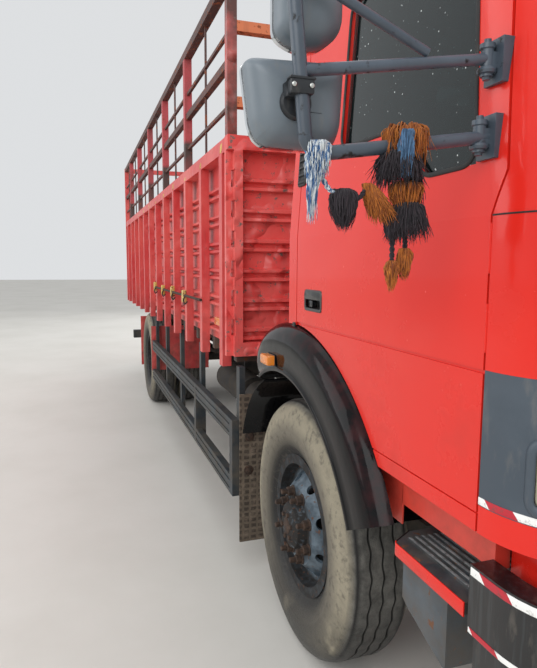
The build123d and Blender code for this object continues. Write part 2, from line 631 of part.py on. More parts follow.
# Entry steps: a ribbed tread with a cut rear corner, and a bent plate below it
STEP_RIBS = 10
STEP_RIB = (9, 6)
STEP_RIB_PITCH = 20
STEP_PLATE_T = 4
with BuildPart() as entry_steps:
    plate(Plane.XY.offset(STEP_TOP_Z - STEP_T), [
        (STEP_X[0], -CAB_HALF + 260), (STEP_X[0], -CAB_HALF + 70), (STEP_X[0] + 45, -CAB_HALF),
        (STEP_X[1], -CAB_HALF), (STEP_X[1], -CAB_HALF + 260),
    ], STEP_T - STEP_RIB[1])
    for i in range(STEP_RIBS):
        y = -CAB_HALF + 42 + STEP_RIB_PITCH * i
        block((STEP_X[0] + 40, STEP_X[1] - 8), (y, y + STEP_RIB[0]),
              (STEP_TOP_Z - STEP_RIB[1], STEP_TOP_Z))
    plate(Plane.XZ.offset(CAB_HALF - 50), [
        (STEP_X[0] + 17, STEP_TOP_Z - STEP_T), (STEP_X[0] + 17, 705), (STEP_X[0] + 40, 690),
        (STEP_X[1] - 134, 628), (STEP_X[1] - 120, 628), (STEP_X[1] - 120, STEP_TOP_Z - STEP_T),
    ], STEP_PLATE_T)
    block((STEP_X[1] - 120 - STEP_PLATE_T, STEP_X[1] - 120), (-CAB_HALF + 46, -CAB_HALF + 250),
          (628, STEP_TOP_Z - STEP_T))
    block((STEP_X[0] + 120, STEP_X[1] - 130), (-CAB_HALF + 220, -RAIL_HALF - SEAT),
          (820, STEP_TOP_Z - STEP_T))
    mirror(about=Plane.XZ)
save(entry_steps, "entry_steps")

# Seats, dashboard and steering wheel
SEAT_Y = CAB_HALF - 490
with BuildPart() as seats:
    for y in (-SEAT_Y, SEAT_Y):
        block((station(330), station(820)), (y - 240, y + 240), (CAB_FLOOR_Z + 260, CAB_FLOOR_Z + 380))
        plate(Plane.XZ.offset(-y - 235), [
            (station(330), CAB_FLOOR_Z + 380 + SEAT), (station(440), CAB_FLOOR_Z + 380 + SEAT),
            (station(360), CAB_FLOOR_Z + 980), (station(270), CAB_FLOOR_Z + 980),
        ], 470)
        block((station(400), station(740)), (y - 170, y + 170), (CAB_FLOOR_Z + SEAT, CAB_FLOOR_Z + 260))
save(seats, "seats")

DASH_FRONT = CAB_NOSE - CAB_WALL - 30
with BuildPart() as dashboard:
    plate(Plane.XZ.offset(-CAB_HALF + 150), [
        (DASH_FRONT - 330, 1560), (DASH_FRONT - 90, 1560), (DASH_FRONT - 20, 1640),
        (DASH_FRONT - 20, 1740), (DASH_FRONT - 300, 1740),
    ], 2 * (CAB_HALF - 150))
save(dashboard, "dashboard")

WHEEL_CENTRE = (station(930), -SEAT_Y, 1790)
COLUMN_FOOT = (station(1110), -SEAT_Y, CAB_FLOOR_Z + 10)
with BuildPart() as steering_wheel:
    column = Vector(*WHEEL_CENTRE) - Vector(*COLUMN_FOOT)
    rod(COLUMN_FOOT, WHEEL_CENTRE, 30)
    rim_plane = Plane(origin=WHEEL_CENTRE, z_dir=column)
    with BuildSketch(rim_plane.offset(-14)):
        Circle(232)
        Circle(205, mode=Mode.SUBTRACT)
        Rectangle(430, 34)
        Circle(60)
    extrude(amount=28)
save(steering_wheel, "steering_wheel")

# Mud flaps behind the front wheels and plates ahead of the rear ones
FLAP_X = station(-652)
FLAP_Y = (BODY_HALF - 580, BODY_HALF - 45)
FLAP_ARM_Y = BODY_HALF - 85
with BuildPart() as mud_flaps:
    for side in (-1, 1):
        edges = (side * FLAP_Y[0], side * FLAP_Y[1])
        block((FLAP_X, FLAP_X + 12), (min(edges), max(edges)), (150, 950))
        arm = (side * (RAIL_HALF + SEAT), side * FLAP_ARM_Y)
        block((FLAP_X - 40, FLAP_X), (min(arm), max(arm)), (880, 930))
save(mud_flaps, "mud_flaps")

PLATE_X = REAR_AXLE + 640
PLATE_Y = (BODY_HALF - 630, BODY_HALF - 5)
with BuildPart() as rear_mudguards:
    for side in (-1, 1):
        edges = (side * PLATE_Y[0], side * PLATE_Y[1])
        block((PLATE_X, PLATE_X + 5), (min(edges), max(edges)), (480, POST_BASE_Z - 110))
        edges = (side * PLATE_Y[0], side * (PLATE_Y[1] - 20))
        block((REAR_AXLE - 640, REAR_AXLE - 630), (min(edges), max(edges)), (330, POST_BASE_Z - 110))
        arm = (side * (RAIL_HALF + SEAT), side * FLAP_ARM_Y)
        block((PLATE_X - 30, PLATE_X), (min(arm), max(arm)), (860, 900))
        block((REAR_AXLE - 630, REAR_AXLE - 600), (min(arm), max(arm)), (860, 900))
save(rear_mudguards, "rear_mudguards")

# Guard rails along both sides and the bar under the tail
GUARD_X = (station(-4030), station(-662))
GUARD_Y = (BODY_HALF - 50, BODY_HALF - 10)
GUARD_Z = (400, 810)
GUARD_RAIL = 100
GUARD_WALL = 8
GUARD_GROOVE = (5, 16, 22)
GUARD_POST = 60
with BuildPart() as guard_rails:
    # Each rail is a pressed channel, open inwards, with two grooves in its face
    with BuildSketch(Plane.YZ.offset(GUARD_X[0])):
        for z in (GUARD_Z[0] + GUARD_RAIL / 2, GUARD_Z[1] - GUARD_RAIL / 2):
            with Locations((sum(GUARD_Y) / 2, z)):
                Rectangle(GUARD_Y[1] - GUARD_Y[0], GUARD_RAIL)
            with Locations((sum(GUARD_Y) / 2 - GUARD_WALL, z)):
                Rectangle(GUARD_Y[1] - GUARD_Y[0], GUARD_RAIL - 2 * GUARD_WALL, mode=Mode.SUBTRACT)
            depth, height, offset = GUARD_GROOVE
            with Locations((GUARD_Y[1], z - offset), (GUARD_Y[1], z + offset)):
                Rectangle(2 * depth, height, mode=Mode.SUBTRACT)
    extrude(amount=GUARD_X[1] - GUARD_X[0])
    for x in (-722, -1700, -2500, -3300, -4030):
        along = (station(x), station(x) + GUARD_POST)
        block(along, (GUARD_Y[0] - 30, GUARD_Y[0]), (GUARD_Z[0], BEARER_Z[0] - SEAT))
    for x in (-722, -1700):
        block((station(x), station(x) + GUARD_POST), (GUARD_Y[0] - 20, GUARD_Y[1]), GUARD_Z)
    mirror(about=Plane.XZ)
    block((BODY_REAR - 40, BODY_REAR + 60), (-CORNER_POST_Y, CORNER_POST_Y), (480, 600))
    for side in (-1, 1):
        leg = (side * (RAIL_HALF - 60), side * RAIL_HALF)
        block((BODY_REAR + 20, BODY_REAR + 110), (min(leg), max(leg)), (480, RAIL_BASE - SEAT))
save(guard_rails, "guard_rails")

# Cargo floor on its cross bearers
FLOOR_EDGE = PANEL_Y - RIB_DEPTH - SHEET_T - SEAT
LOAD_X = (BODY_REAR + HEAD_DEPTH + SEAT, BODY_FRONT - HEAD_DEPTH - SHEET_T - SEAT)
POST_X = [BODY_FRONT - FIRST_POST - POST_PITCH * i for i in range(POST_COUNT)]
with BuildPart() as cargo_floor:
    block(LOAD_X, (-FLOOR_EDGE, FLOOR_EDGE), FLOOR_Z)
    for x in POST_X:
        block((x - 30, x + 30), (-FLOOR_EDGE, FLOOR_EDGE), BEARER_Z)
    for side in (-1, 1):
        runner = (side * (RAIL_HALF - RAIL_FLANGE), side * RAIL_HALF)
        block(LOAD_X, (min(runner), max(runner)), (RAIL_TOP + SEAT, BEARER_Z[0]))
save(cargo_floor, "cargo_floor")


def ribbed_section(face, sign):
    """Points of a sheet with paired ribs: offset from the middle and height."""
    out = [(face, FLOOR_Z[0])]
    for i in range(RIB_COUNT):
        z = RIB_BASE_Z + RIB_PITCH * i
        for rib in (0, 44):
            out += [(face, z + rib), (face + sign * RIB_DEPTH, z + rib + 8),
                    (face + sign * RIB_DEPTH, z + rib + 22), (face, z + rib + 30)]
    out.append((face, TOP_RAIL_Z[0]))
    back = [(y - sign * SHEET_T, z) for y, z in reversed(out)]
    return out + back


# Side panels: ribbed sheet with its top and bottom rails
SHEET_Y = PANEL_Y - RIB_DEPTH
with BuildPart() as side_panels:
    plate(Plane.YZ.offset(LOAD_X[0]), ribbed_section(SHEET_Y, 1), LOAD_X[1] - LOAD_X[0])
    block(LOAD_X, (SHEET_Y - SHEET_T, BODY_HALF - 4), TOP_RAIL_Z)
    mirror(about=Plane.XZ)
save(side_panels, "side_panels")

# Side posts: channels that stand proud of the sheet
with BuildPart() as side_posts:
    for x in POST_X:
        with BuildSketch(Plane.XY.offset(POST_BASE_Z)):
            with Locations((x, BODY_HALF - POST_DEPTH / 2)):
                Rectangle(POST_WIDTH, POST_DEPTH - 2 * SEAT)
            with Locations((x, PANEL_Y + (POST_DEPTH - POST_WALL) / 2 - SEAT)):
                Rectangle(POST_WIDTH - 2 * POST_WALL, POST_DEPTH - POST_WALL, mode=Mode.SUBTRACT)
        extrude(amount=TOP_RAIL_Z[0] - SEAT - POST_BASE_Z)
    mirror(about=Plane.XZ)
save(side_posts, "side_posts")

# Headboard with its corner posts. Each corner is a pair of tubes, the outer one
# set back, tied by short welds with open slots between them.
HEAD_X = BODY_FRONT - HEAD_DEPTH
CORNER_SPLIT_Y = CORNER_POST_Y + 46
CORNER_SET_BACK = 36
SLOT_BASE_Z = 1250
SLOT_PITCH = 152
SLOT_COUNT = 6
SLOT = (14, 84)
with BuildPart() as headboard:
    head_section = [(HEAD_X + d, z) for d, z in ribbed_section(0, 1)]
    plate(Plane.XZ.offset(-CORNER_POST_Y), head_section, 2 * CORNER_POST_Y)
    block((HEAD_X - SHEET_T, BODY_FRONT), (-CORNER_POST_Y, CORNER_POST_Y), TOP_RAIL_Z)
    block((HEAD_X - SHEET_T, BODY_FRONT), (-CORNER_POST_Y, CORNER_POST_Y), (HEAD_POST_Z, FLOOR_Z[1]))
    for y in (-RAIL_HALF + 40, RAIL_HALF - 40):
        block((HEAD_X - SHEET_T, BODY_FRONT), (y - 36, y + 36), (RAIL_TOP + SEAT, HEAD_POST_Z))
    for side in (-1, 1):
        edges = (side * CORNER_POST_Y, side * BODY_HALF)
        block((HEAD_X - SHEET_T, BODY_FRONT), (min(edges), max(edges)), (HEAD_POST_Z, TOP_RAIL_Z[1]))
        tube = (side * RACK_Y[0], side * RACK_Y[1])
        block((HEAD_X - SHEET_T, HEAD_X - SHEET_T + RACK_TUBE), (min(tube), max(tube)),
              (TOP_RAIL_Z[1], RACK_TOP_Z))
    for side in (-1, 1):
        with Locations((BODY_FRONT, side * BODY_HALF, (HEAD_POST_Z + TOP_RAIL_Z[0]) / 2)):
            Box(2 * CORNER_SET_BACK, 2 * (BODY_HALF - CORNER_SPLIT_Y), TOP_RAIL_Z[0] - HEAD_POST_Z,
                mode=Mode.SUBTRACT)
        with Locations(*[(HEAD_X, side * CORNER_SPLIT_Y, SLOT_BASE_Z + SLOT_PITCH * i + SLOT[1] / 2)
                         for i in range(SLOT_COUNT)]):
            Box(3 * HEAD_DEPTH, SLOT[0], SLOT[1], mode=Mode.SUBTRACT)
save(headboard, "headboard")

# Rack above the sides: posts on every second side post, bars and thin uprights
RACK_POST_X = POST_X[2::2]
RACK_POST_HALF = 30
RACK_BARS = (
    # low edge, height, inset from the post's faces
    (2402, 18, 16),
    (2600, 40, 8),
    (2762, 18, 16),
)
UPRIGHT_R = 7
with BuildPart() as rack_posts:
    for x in RACK_POST_X:
        block((x - RACK_POST_HALF, x + RACK_POST_HALF), RACK_Y,
              (TOP_RAIL_Z[1] + SEAT, RACK_TOP_Z - RACK_TUBE - SEAT))
    mirror(about=Plane.XZ)
save(rack_posts, "rack_posts")

CROSSBAR_X = (HEAD_X - SHEET_T, HEAD_X - SHEET_T + RACK_TUBE)
CROSSBAR_Z = (2400, 2760)
with BuildPart() as rack_rails:
    block(LOAD_X, RACK_Y, (RACK_TOP_Z - RACK_TUBE, RACK_TOP_Z))
    starts = [LOAD_X[1]] + [x - RACK_POST_HALF - SEAT for x in RACK_POST_X]
    stops = [x + RACK_POST_HALF + SEAT for x in RACK_POST_X] + [LOAD_X[0]]
    for near, far in zip(starts, stops):
        for z, height, inset in RACK_BARS:
            block((far, near), (RACK_Y[0] + inset, RACK_Y[1] - inset), (z, z + height))
        middle = (near + far) / 2
        foot = (middle, sum(RACK_Y) / 2, TOP_RAIL_Z[1] + SEAT)
        rod(foot, (middle, sum(RACK_Y) / 2, RACK_TOP_Z - RACK_TUBE), UPRIGHT_R)
    mirror(about=Plane.XZ)
    for z in CROSSBAR_Z:
        block(CROSSBAR_X, (-RACK_Y[0] + SEAT, RACK_Y[0] - SEAT), (z, z + RACK_TUBE))
save(rack_rails, "rack_rails")

# Rear cargo doors: two ribbed leaves on vertical hinges at the corner posts
HINGE_Y = BODY_HALF - 16
HINGE_X = BODY_REAR - 20
LEAF_Z = (FLOOR_Z[1] + 10, TOP_RAIL_Z[1])
LEAF_X = (BODY_REAR - 50, BODY_REAR - 8)
HINGE_R = 14
HINGE_HALF = 50
HINGE_Z = (LEAF_Z[0] + 150, sum(LEAF_Z) / 2, LEAF_Z[1] - 150)

# Rear frame: corner posts, sill and top beam
FRAME_X = (BODY_REAR, BODY_REAR + HEAD_DEPTH)
with BuildPart() as rear_frame:
    for side in (-1, 1):
        edges = (side * CORNER_POST_Y, side * BODY_HALF)
        block(FRAME_X, (min(edges), max(edges)), (POST_BASE_Z, RACK_TOP_Z))
    block(FRAME_X, (-CORNER_POST_Y, CORNER_POST_Y), (POST_BASE_Z, FLOOR_Z[1]))
    for y in (-RAIL_HALF + 40, RAIL_HALF - 40):
        block(FRAME_X, (y - 36, y + 36), (RAIL_TOP + SEAT, POST_BASE_Z))
    block(FRAME_X, (-CORNER_POST_Y, CORNER_POST_Y), (RACK_TOP_Z - 60, RACK_TOP_Z))
    for z in HINGE_Z:
        lug = (z + HINGE_HALF + SEAT, z + HINGE_HALF + 40)
        for side in (-1, 1):
            pin_y = side * HINGE_Y
            rod((HINGE_X, pin_y, lug[0]), (HINGE_X, pin_y, lug[1]), HINGE_R)
            block((HINGE_X, BODY_REAR), (pin_y - HINGE_R, pin_y + HINGE_R), lug)
save(rear_frame, "rear_frame")

with BuildPart() as cargo_door_right:
    block(LEAF_X, (-HINGE_Y + 22, -GAP / 2), (LEAF_Z[0], LEAF_Z[0] + 70))
    block(LEAF_X, (-HINGE_Y + 22, -GAP / 2), (LEAF_Z[1] - 70, LEAF_Z[1]))
    block(LEAF_X, (-HINGE_Y + 22, -HINGE_Y + 92), LEAF_Z)
    block(LEAF_X, (-GAP / 2 - 70, -GAP / 2), LEAF_Z)
    block((BODY_REAR - 32, BODY_REAR - 26), (-HINGE_Y + 90, -GAP / 2 - 68), LEAF_Z)
    for i in range(RIB_COUNT - 1):
        z = RIB_BASE_Z + RIB_PITCH * i + 60
        block((BODY_REAR - 46, BODY_REAR - 30), (-HINGE_Y + 92, -GAP / 2 - 70), (z, z + 40))
    for z in HINGE_Z:
        rod((HINGE_X, -HINGE_Y, z - HINGE_HALF), (HINGE_X, -HINGE_Y, z + HINGE_HALF), HINGE_R)
        block((HINGE_X - 5, HINGE_X + 5), (-HINGE_Y, -HINGE_Y + 30), (z - HINGE_HALF, z + HINGE_HALF))
with BuildPart() as cargo_door_left:
    mirror(cargo_door_right.part, about=Plane.XZ)
save(cargo_door_right, "cargo_door_right")
save(cargo_door_left, "cargo_door_left")


# Wheels are turned about the axle: local X is the radius, local Y is outwards
def wheel_plane(x, y):
    """Plane through an axle's line, with the radius along local X."""
    return Plane(origin=(x, y, TYRE_R), x_dir=(1, 0, 0), z_dir=(0, 0, 1))


def turned(x, y, points, mode=Mode.ADD):
    """Closed section of radius and side offset, revolved about the axle."""
    with BuildSketch(wheel_plane(x, y)) as face:
        with BuildLine():
            Polyline(*points, close=True)
        make_face()
    revolve(face.sketch, axis=Axis((x, y, TYRE_R), (0, 1, 0)), mode=mode)


def tyre(x, y):
    """Tyre section with a flat crown, rounded shoulders and full side walls."""
    half = TYRE_W / 2
    turned(x, y, [
        (BEAD_R + 6 + SEAT, -RIM_W / 2 + 2 + SEAT), (RIM_FLANGE_R + 6, -RIM_W / 2 + SEAT), (360, -half + 6),
        (410, -half), (460, -half + 6), (TYRE_R - 26, -half + 22), (TYRE_R - 6, -half + 46),
        (TYRE_R, -half + 70), (TYRE_R, half - 70), (TYRE_R - 6, half - 46),
        (TYRE_R - 26, half - 22), (460, half - 6), (410, half), (360, half - 6),
        (RIM_FLANGE_R + 6, RIM_W / 2 - SEAT), (BEAD_R + 6 + SEAT, RIM_W / 2 - 2 - SEAT),
    ])


def rim(x, y):
    """Rolled rim with a dropped middle, under the tyre's beads."""
    half = RIM_W / 2
    turned(x, y, [
        (RIM_FLANGE_R, -half - 6), (RIM_FLANGE_R, -half), (BEAD_R + 6, -half + 2),
        (BEAD_R + 1, -half + 30), (BEAD_R - 8, -half + 60), (BEAD_R - 8, half - 60),
        (BEAD_R + 1, half - 30), (BEAD_R + 6, half - 2), (RIM_FLANGE_R, half),
        (RIM_FLANGE_R, half + 6), (BEAD_R - 4, half + 6), (BEAD_R - 8, half - 30),
        (BEAD_R - 17, half - 56), (BEAD_R - 17, -half + 56), (BEAD_R - 8, -half + 30),
        (BEAD_R - 4, -half - 6),
    ])


# Front wheel: dished disc, hub and brake drum, turning on the spindle. The disc is
# a cone from the rim out to the flat that the studs stand on.
DISC_T = 14
STUD_FACE = 112
STUD_FACE_R = 162
CONE_FOOT = (216, 54)
def front_wheel(side):
    """Rim, disc, hub and drum of a front wheel on the side given by a sign."""
    y, s = side * FRONT_TYRE_Y, side
    rim(FRONT_AXLE, y)
    turned(FRONT_AXLE, y, [
        (SPINDLE_R + SPINDLE_PLAY, s * -22), (90, s * -22), (90, s * 8), (DRUM_R - 14, s * 8),
        (DRUM_R - 14, s * -100), (DRUM_R, s * -100), (DRUM_R, s * 20), (108, s * 20),
        (108, s * (STUD_FACE - DISC_T)), (STUD_FACE_R - 6, s * (STUD_FACE - DISC_T)),
        (CONE_FOOT[0] - 6, s * (CONE_FOOT[1] - DISC_T)), (BEAD_R - 12, s * (CONE_FOOT[1] - DISC_T)),
        (BEAD_R - 12, s * CONE_FOOT[1]), (CONE_FOOT[0], s * CONE_FOOT[1]), (STUD_FACE_R, s * STUD_FACE),
        (108, s * STUD_FACE), (92, s * 148), (66, s * 160), (0, s * 162), (0, s * 100),
        (SPINDLE_R + SPINDLE_PLAY, s * 100),
    ])
    hole_y = (STUD_FACE + CONE_FOOT[1]) / 2
    for i in range(STUD_COUNT):
        turn = radians(22.5 + 360 * i / STUD_COUNT)
        spoke = Vector(cos(turn), 0, sin(turn))
        normal = spoke + Vector(0, s, 0)
        middle = Vector(FRONT_AXLE, y + s * hole_y, TYRE_R) + spoke * DISC_HOLE_CIRCLE_R
        rod(middle - normal * DISC_T, middle + normal * DISC_T, DISC_HOLE_R, mode=Mode.SUBTRACT)


def rear_wheels(side):
    """Two rims, their discs face to face, the hub and the drum."""
    s, x = side, REAR_AXLE
    for y in (REAR_INNER_Y, REAR_OUTER_Y):
        rim(x, s * y)
    middle = TWIN_SPACING / 2
    turned(x, s * (REAR_OUTER_Y - middle), [
        (SPINDLE_R + SPINDLE_PLAY, s * -150), (100, s * -150), (100, s * -40),
        (DRUM_R - 14, s * -40), (DRUM_R - 14, s * -170), (DRUM_R, s * -170), (DRUM_R, s * -14),
        (BEAD_R - 26, s * -70), (BEAD_R - 1, s * -70), (BEAD_R - 1, s * -58),
        (DRUM_R, s * 0), (BEAD_R - 1, s * 58), (BEAD_R - 1, s * 70), (BEAD_R - 26, s * 70),
        (DRUM_R - 6, s * 14), (112, s * 14), (112, s * 120), (80, s * 150), (0, s * 152),
        (0, s * 110), (SPINDLE_R + SPINDLE_PLAY, s * 110),
    ])


for side, name in ((-1, "right"), (1, "left")):
    with BuildPart() as front_tyre:
        tyre(FRONT_AXLE, side * FRONT_TYRE_Y)
    save(front_tyre, f"front_tyre_{name}")
    with BuildPart() as front_hub:
        front_wheel(side)
    save(front_hub, f"front_wheel_{name}")
    with BuildPart() as twin_tyres:
        tyre(REAR_AXLE, side * REAR_INNER_Y)
        tyre(REAR_AXLE, side * REAR_OUTER_Y)
    save(twin_tyres, f"rear_tyres_{name}")
    with BuildPart() as twin_wheels:
        rear_wheels(side)
    save(twin_wheels, f"rear_wheels_{name}")

# Steering knuckles: a fork about the kingpin, the spindle and the steering arm
FORK_R = 46
EAR_T = 44
with BuildPart() as knuckle_left:
    low, high = KINGPIN_BOSS
    ears = ((low - EAR_T - 2, low - 2), (high + 2, high + EAR_T + 2))
    for z in ears:
        with BuildSketch(Plane.XY.offset(z[0])):
            with Locations((FRONT_AXLE, KINGPIN_Y)):
                Circle(FORK_R)
            with Locations((FRONT_AXLE, KINGPIN_Y + 40)):
                Rectangle(2 * FORK_R, 80)
        extrude(amount=z[1] - z[0])
    block((FRONT_AXLE - FORK_R, FRONT_AXLE + FORK_R), (KINGPIN_Y + 56, KINGPIN_Y + 82),
          (ears[0][0], ears[1][1]))
    rod((FRONT_AXLE, KINGPIN_Y, ears[0][0]), (FRONT_AXLE, KINGPIN_Y, ears[1][1]), KINGPIN_R)
    rod((FRONT_AXLE, KINGPIN_Y + 80, TYRE_R), (FRONT_AXLE, FRONT_TYRE_Y + 90, TYRE_R), SPINDLE_R)
    with BuildSketch(Plane.XY.offset(ears[0][0])):
        with BuildLine():
            Polyline((FRONT_AXLE, KINGPIN_Y - 30), (FRONT_AXLE, KINGPIN_Y + 30),
                     (FRONT_AXLE + STEER_ARM_X, STEER_ARM_Y + 26),
                     (FRONT_AXLE + STEER_ARM_X, STEER_ARM_Y - 26), close=True)
        make_face()
        with Locations((FRONT_AXLE + STEER_ARM_X, STEER_ARM_Y)):
            Circle(26)
    extrude(amount=28)
    rod((FRONT_AXLE + STEER_ARM_X, STEER_ARM_Y, ears[0][0] - 44),
        (FRONT_AXLE + STEER_ARM_X, STEER_ARM_Y, ears[0][0]), 12)
with BuildPart() as knuckle_right:
    mirror(knuckle_left.part, about=Plane.XZ)
save(knuckle_left, "knuckle_left")
save(knuckle_right, "knuckle_right")

# Track rod between the steering arms
ROD_Z = KINGPIN_BOSS[0] - EAR_T - 26
with BuildPart() as track_rod:
    rod((FRONT_AXLE + STEER_ARM_X, -STEER_ARM_Y + 20, ROD_Z),
        (FRONT_AXLE + STEER_ARM_X, STEER_ARM_Y - 20, ROD_Z), TRACK_ROD_R)
    for side in (-1, 1):
        with Locations((FRONT_AXLE + STEER_ARM_X, side * STEER_ARM_Y, ROD_Z)):
            Cylinder(30, 36)
    for side in (-1, 1):
        with Locations((FRONT_AXLE + STEER_ARM_X, side * STEER_ARM_Y, ROD_Z)):
            Cylinder(12 + SPINDLE_PLAY, 36, mode=Mode.SUBTRACT)
save(track_rod, "track_rod")

# Mirrors: a bent tube with an upper arm and a brace, and two housings behind it.
# Offsets are measured outwards from the side of the cab.
TUBE_PATH = ((-20, 1872), (384, 1810), (440, 2390))
TUBE_BEND_R = 34
STRAIGHTS = (
    # offset and height at the door, offset and height at the tube, radius
    (-20, 2020, 396, 1953, 11),
    (142, 2012, 424, 2128, 9),
)
BRACKET_Z = (1868, 2012)
BRACKET = (54, 12, 84)
PIN_R = 12
PIN_OUT = 28
PIN_HALF = 30
LOW_HOUSING = ((306, 1842), (326, 1975), (494, 1958), (484, 1842), (466, 1816), (340, 1816))
HIGH_HOUSING = ((328, 2016), (322, 2366), (452, 2360), (452, 1998), (414, 1985), (360, 1988))
HOUSING_X = (BAR_X - 100, BAR_X - 30)
HOUSING_R = 12
CLAMPS = ((398, 1924), (422, 2200))
CLAMP_HALF = (21, 14)
with BuildPart() as mirror_arms_right:
    with BuildLine() as tube_path:
        FilletPolyline(*[(BAR_X, -CAB_HALF - y, z) for y, z in TUBE_PATH], radius=TUBE_BEND_R)
    with BuildSketch(Plane(origin=tube_path.line @ 0, z_dir=tube_path.line % 0)):
        Circle(BAR_R)
    sweep()
    for y, z, tube_y, tube_z, radius in STRAIGHTS:
        rod((BAR_X, -CAB_HALF - y, z), (BAR_X, -CAB_HALF - tube_y, tube_z), radius)
    for z in BRACKET_Z:
        y = -cab_side(z)
        long, thick, tall = BRACKET
        block((BAR_X - long / 2, BAR_X + long / 2), (y - thick, y + 40), (z - tall / 2, z + tall / 2))
        block((BAR_X - PIN_R, BAR_X + PIN_R), (y - PIN_OUT, y), (z - PIN_HALF / 2, z + PIN_HALF / 2))
        rod((BAR_X, y - PIN_OUT, z - PIN_HALF), (BAR_X, y - PIN_OUT, z + PIN_HALF), PIN_R)
    add(cab_block(-SEAT), mode=Mode.SUBTRACT)
with BuildPart() as mirror_heads_right:
    for outline in (LOW_HOUSING, HIGH_HOUSING):
        with BuildSketch(Plane.YZ.offset(HOUSING_X[0])) as back:
            with BuildLine():
                Polyline(*[(-CAB_HALF - y, z) for y, z in outline], close=True)
            make_face()
            fillet(back.vertices(), HOUSING_R)
        extrude(back.sketch, amount=HOUSING_X[1] - HOUSING_X[0])
    for y, z in CLAMPS:
        across = (-CAB_HALF - y - CLAMP_HALF[0], -CAB_HALF - y + CLAMP_HALF[0])
        block((HOUSING_X[1], BAR_X - BAR_R - SEAT), across, (z - CLAMP_HALF[1], z + CLAMP_HALF[1]))
for right, name in ((mirror_arms_right, "mirror_arms"), (mirror_heads_right, "mirror_heads")):
    with BuildPart() as left:
        mirror(right.part, about=Plane.XZ)
    save(right, f"{name}_right")
    save(left, f"{name}_left")

# Wool tassels tied round the lower mirror arm, and the cords that link them
TASSELS = (
    # offset from the middle, height of the middle, half width, half height
    (1514, 1775, 25, 60),
    (1459, 1722, 27, 34),
    (1391, 1740, 31, 33),
    (1333, 1842, 43, 36),
    (1350, 1777, 45, 28),
    (1330, 1735, 34, 26),
    (1325, 1690, 38, 35),
    (1362, 1672, 16, 18),
    (1334, 1615, 15, 28),
    (1362, 1593, 12, 25),
)
TASSEL_CORDS = ((0, 1), (1, 2), (2, 5), (3, 4), (4, 5), (5, 6), (6, 7), (6, 8), (7, 9))
TASSEL_CORD_R = 6
TASSEL_X = BAR_X
with BuildPart() as tassels:
    for y, z, wide, tall in TASSELS:
        with BuildSketch(Plane.XZ.offset(y)) as half_face:
            with BuildLine():
                Polyline(
                    (TASSEL_X, z - tall), (TASSEL_X + wide * 0.8, z - tall * 0.7),
                    (TASSEL_X + wide, z), (TASSEL_X + wide * 0.6, z + tall * 0.8),
                    (TASSEL_X, z + tall), close=True,
                )
            make_face()
        revolve(half_face.sketch, axis=Axis((TASSEL_X, -y, z), (0, 0, 1)))
    for one, other in TASSEL_CORDS:
        ends = [(TASSEL_X, -TASSELS[i][0], TASSELS[i][1]) for i in (one, other)]
        rod(*ends, TASSEL_CORD_R)
    add(mirror_arms_right.part, mode=Mode.SUBTRACT)
save(tassels, "tassels")
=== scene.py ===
from math import cos, pi, radians, sin, tau

import bmesh
import bpy
import numpy as np
from mathutils import Matrix, Vector


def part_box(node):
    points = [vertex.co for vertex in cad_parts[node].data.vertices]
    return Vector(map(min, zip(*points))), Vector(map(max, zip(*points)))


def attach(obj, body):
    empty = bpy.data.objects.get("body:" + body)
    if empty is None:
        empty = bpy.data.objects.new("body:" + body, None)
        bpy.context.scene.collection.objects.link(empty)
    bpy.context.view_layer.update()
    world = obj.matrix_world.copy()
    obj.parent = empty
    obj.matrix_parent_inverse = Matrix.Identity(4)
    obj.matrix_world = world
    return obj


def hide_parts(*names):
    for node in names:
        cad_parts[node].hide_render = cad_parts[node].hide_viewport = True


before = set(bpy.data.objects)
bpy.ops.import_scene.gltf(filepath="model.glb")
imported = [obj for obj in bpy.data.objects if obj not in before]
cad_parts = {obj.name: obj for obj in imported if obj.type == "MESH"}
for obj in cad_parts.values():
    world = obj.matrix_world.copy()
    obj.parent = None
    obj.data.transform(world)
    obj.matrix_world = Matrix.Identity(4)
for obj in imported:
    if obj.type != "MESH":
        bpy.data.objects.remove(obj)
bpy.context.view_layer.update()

bl_info = {
    "name": "Cab-over truck finish",
    "version": (1, 0, 0),
    "blender": (4, 5, 0),
    "location": "View3D > Sidebar > Truck",
    "description": "Finishes, trim and stage for the cab-over haulage truck",
    "category": "Object",
}

# Places in metres, X forward, Y left and Z up: first those read from the frame, then the cab's form
FRONT_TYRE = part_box("front_tyre_right")
REAR_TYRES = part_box("rear_tyres_right")
FRONT_AXLE = (FRONT_TYRE[0].x + FRONT_TYRE[1].x) / 2
REAR_AXLE = (REAR_TYRES[0].x + REAR_TYRES[1].x) / 2
TYRE_R = (FRONT_TYRE[1].z - FRONT_TYRE[0].z) / 2
TYRE_W = FRONT_TYRE[1].y - FRONT_TYRE[0].y
CAB_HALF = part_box("door_left")[1].y
CAB_REAR_X, CAB_NOSE_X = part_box("cab_frame")[0].x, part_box("cab_front")[1].x
CORNER_R = 0.240
CORNER_START_X = CAB_NOSE_X - CORNER_R
LINER_R = TYRE_R + 0.090
DISC_FACE, REAR_DISC_FACE = 0.112, 0.014
BELT_Z, ROOF_Z, ROOF_IN, RAKE = 1.715, 2.560, 0.058, 0.240
SIDE_NAMES = {-1: "right", 1: "left"}


def linear(code):
    """Turn an sRGB hex colour into linear red, green, blue and alpha."""
    channels = np.array([int(code[i:i + 2], 16) for i in (1, 3, 5)]) / 255
    curve = np.where(channels <= 0.04045, channels / 12.92, ((channels + 0.055) / 1.055) ** 2.4)
    return (*(float(c) for c in curve), 1.0)


def tint(name, description, code):
    """Colour property whose default is a hex colour."""
    return bpy.props.FloatVectorProperty(
        name=name, description=description, subtype="COLOR", min=0, max=1, default=linear(code)[:3])


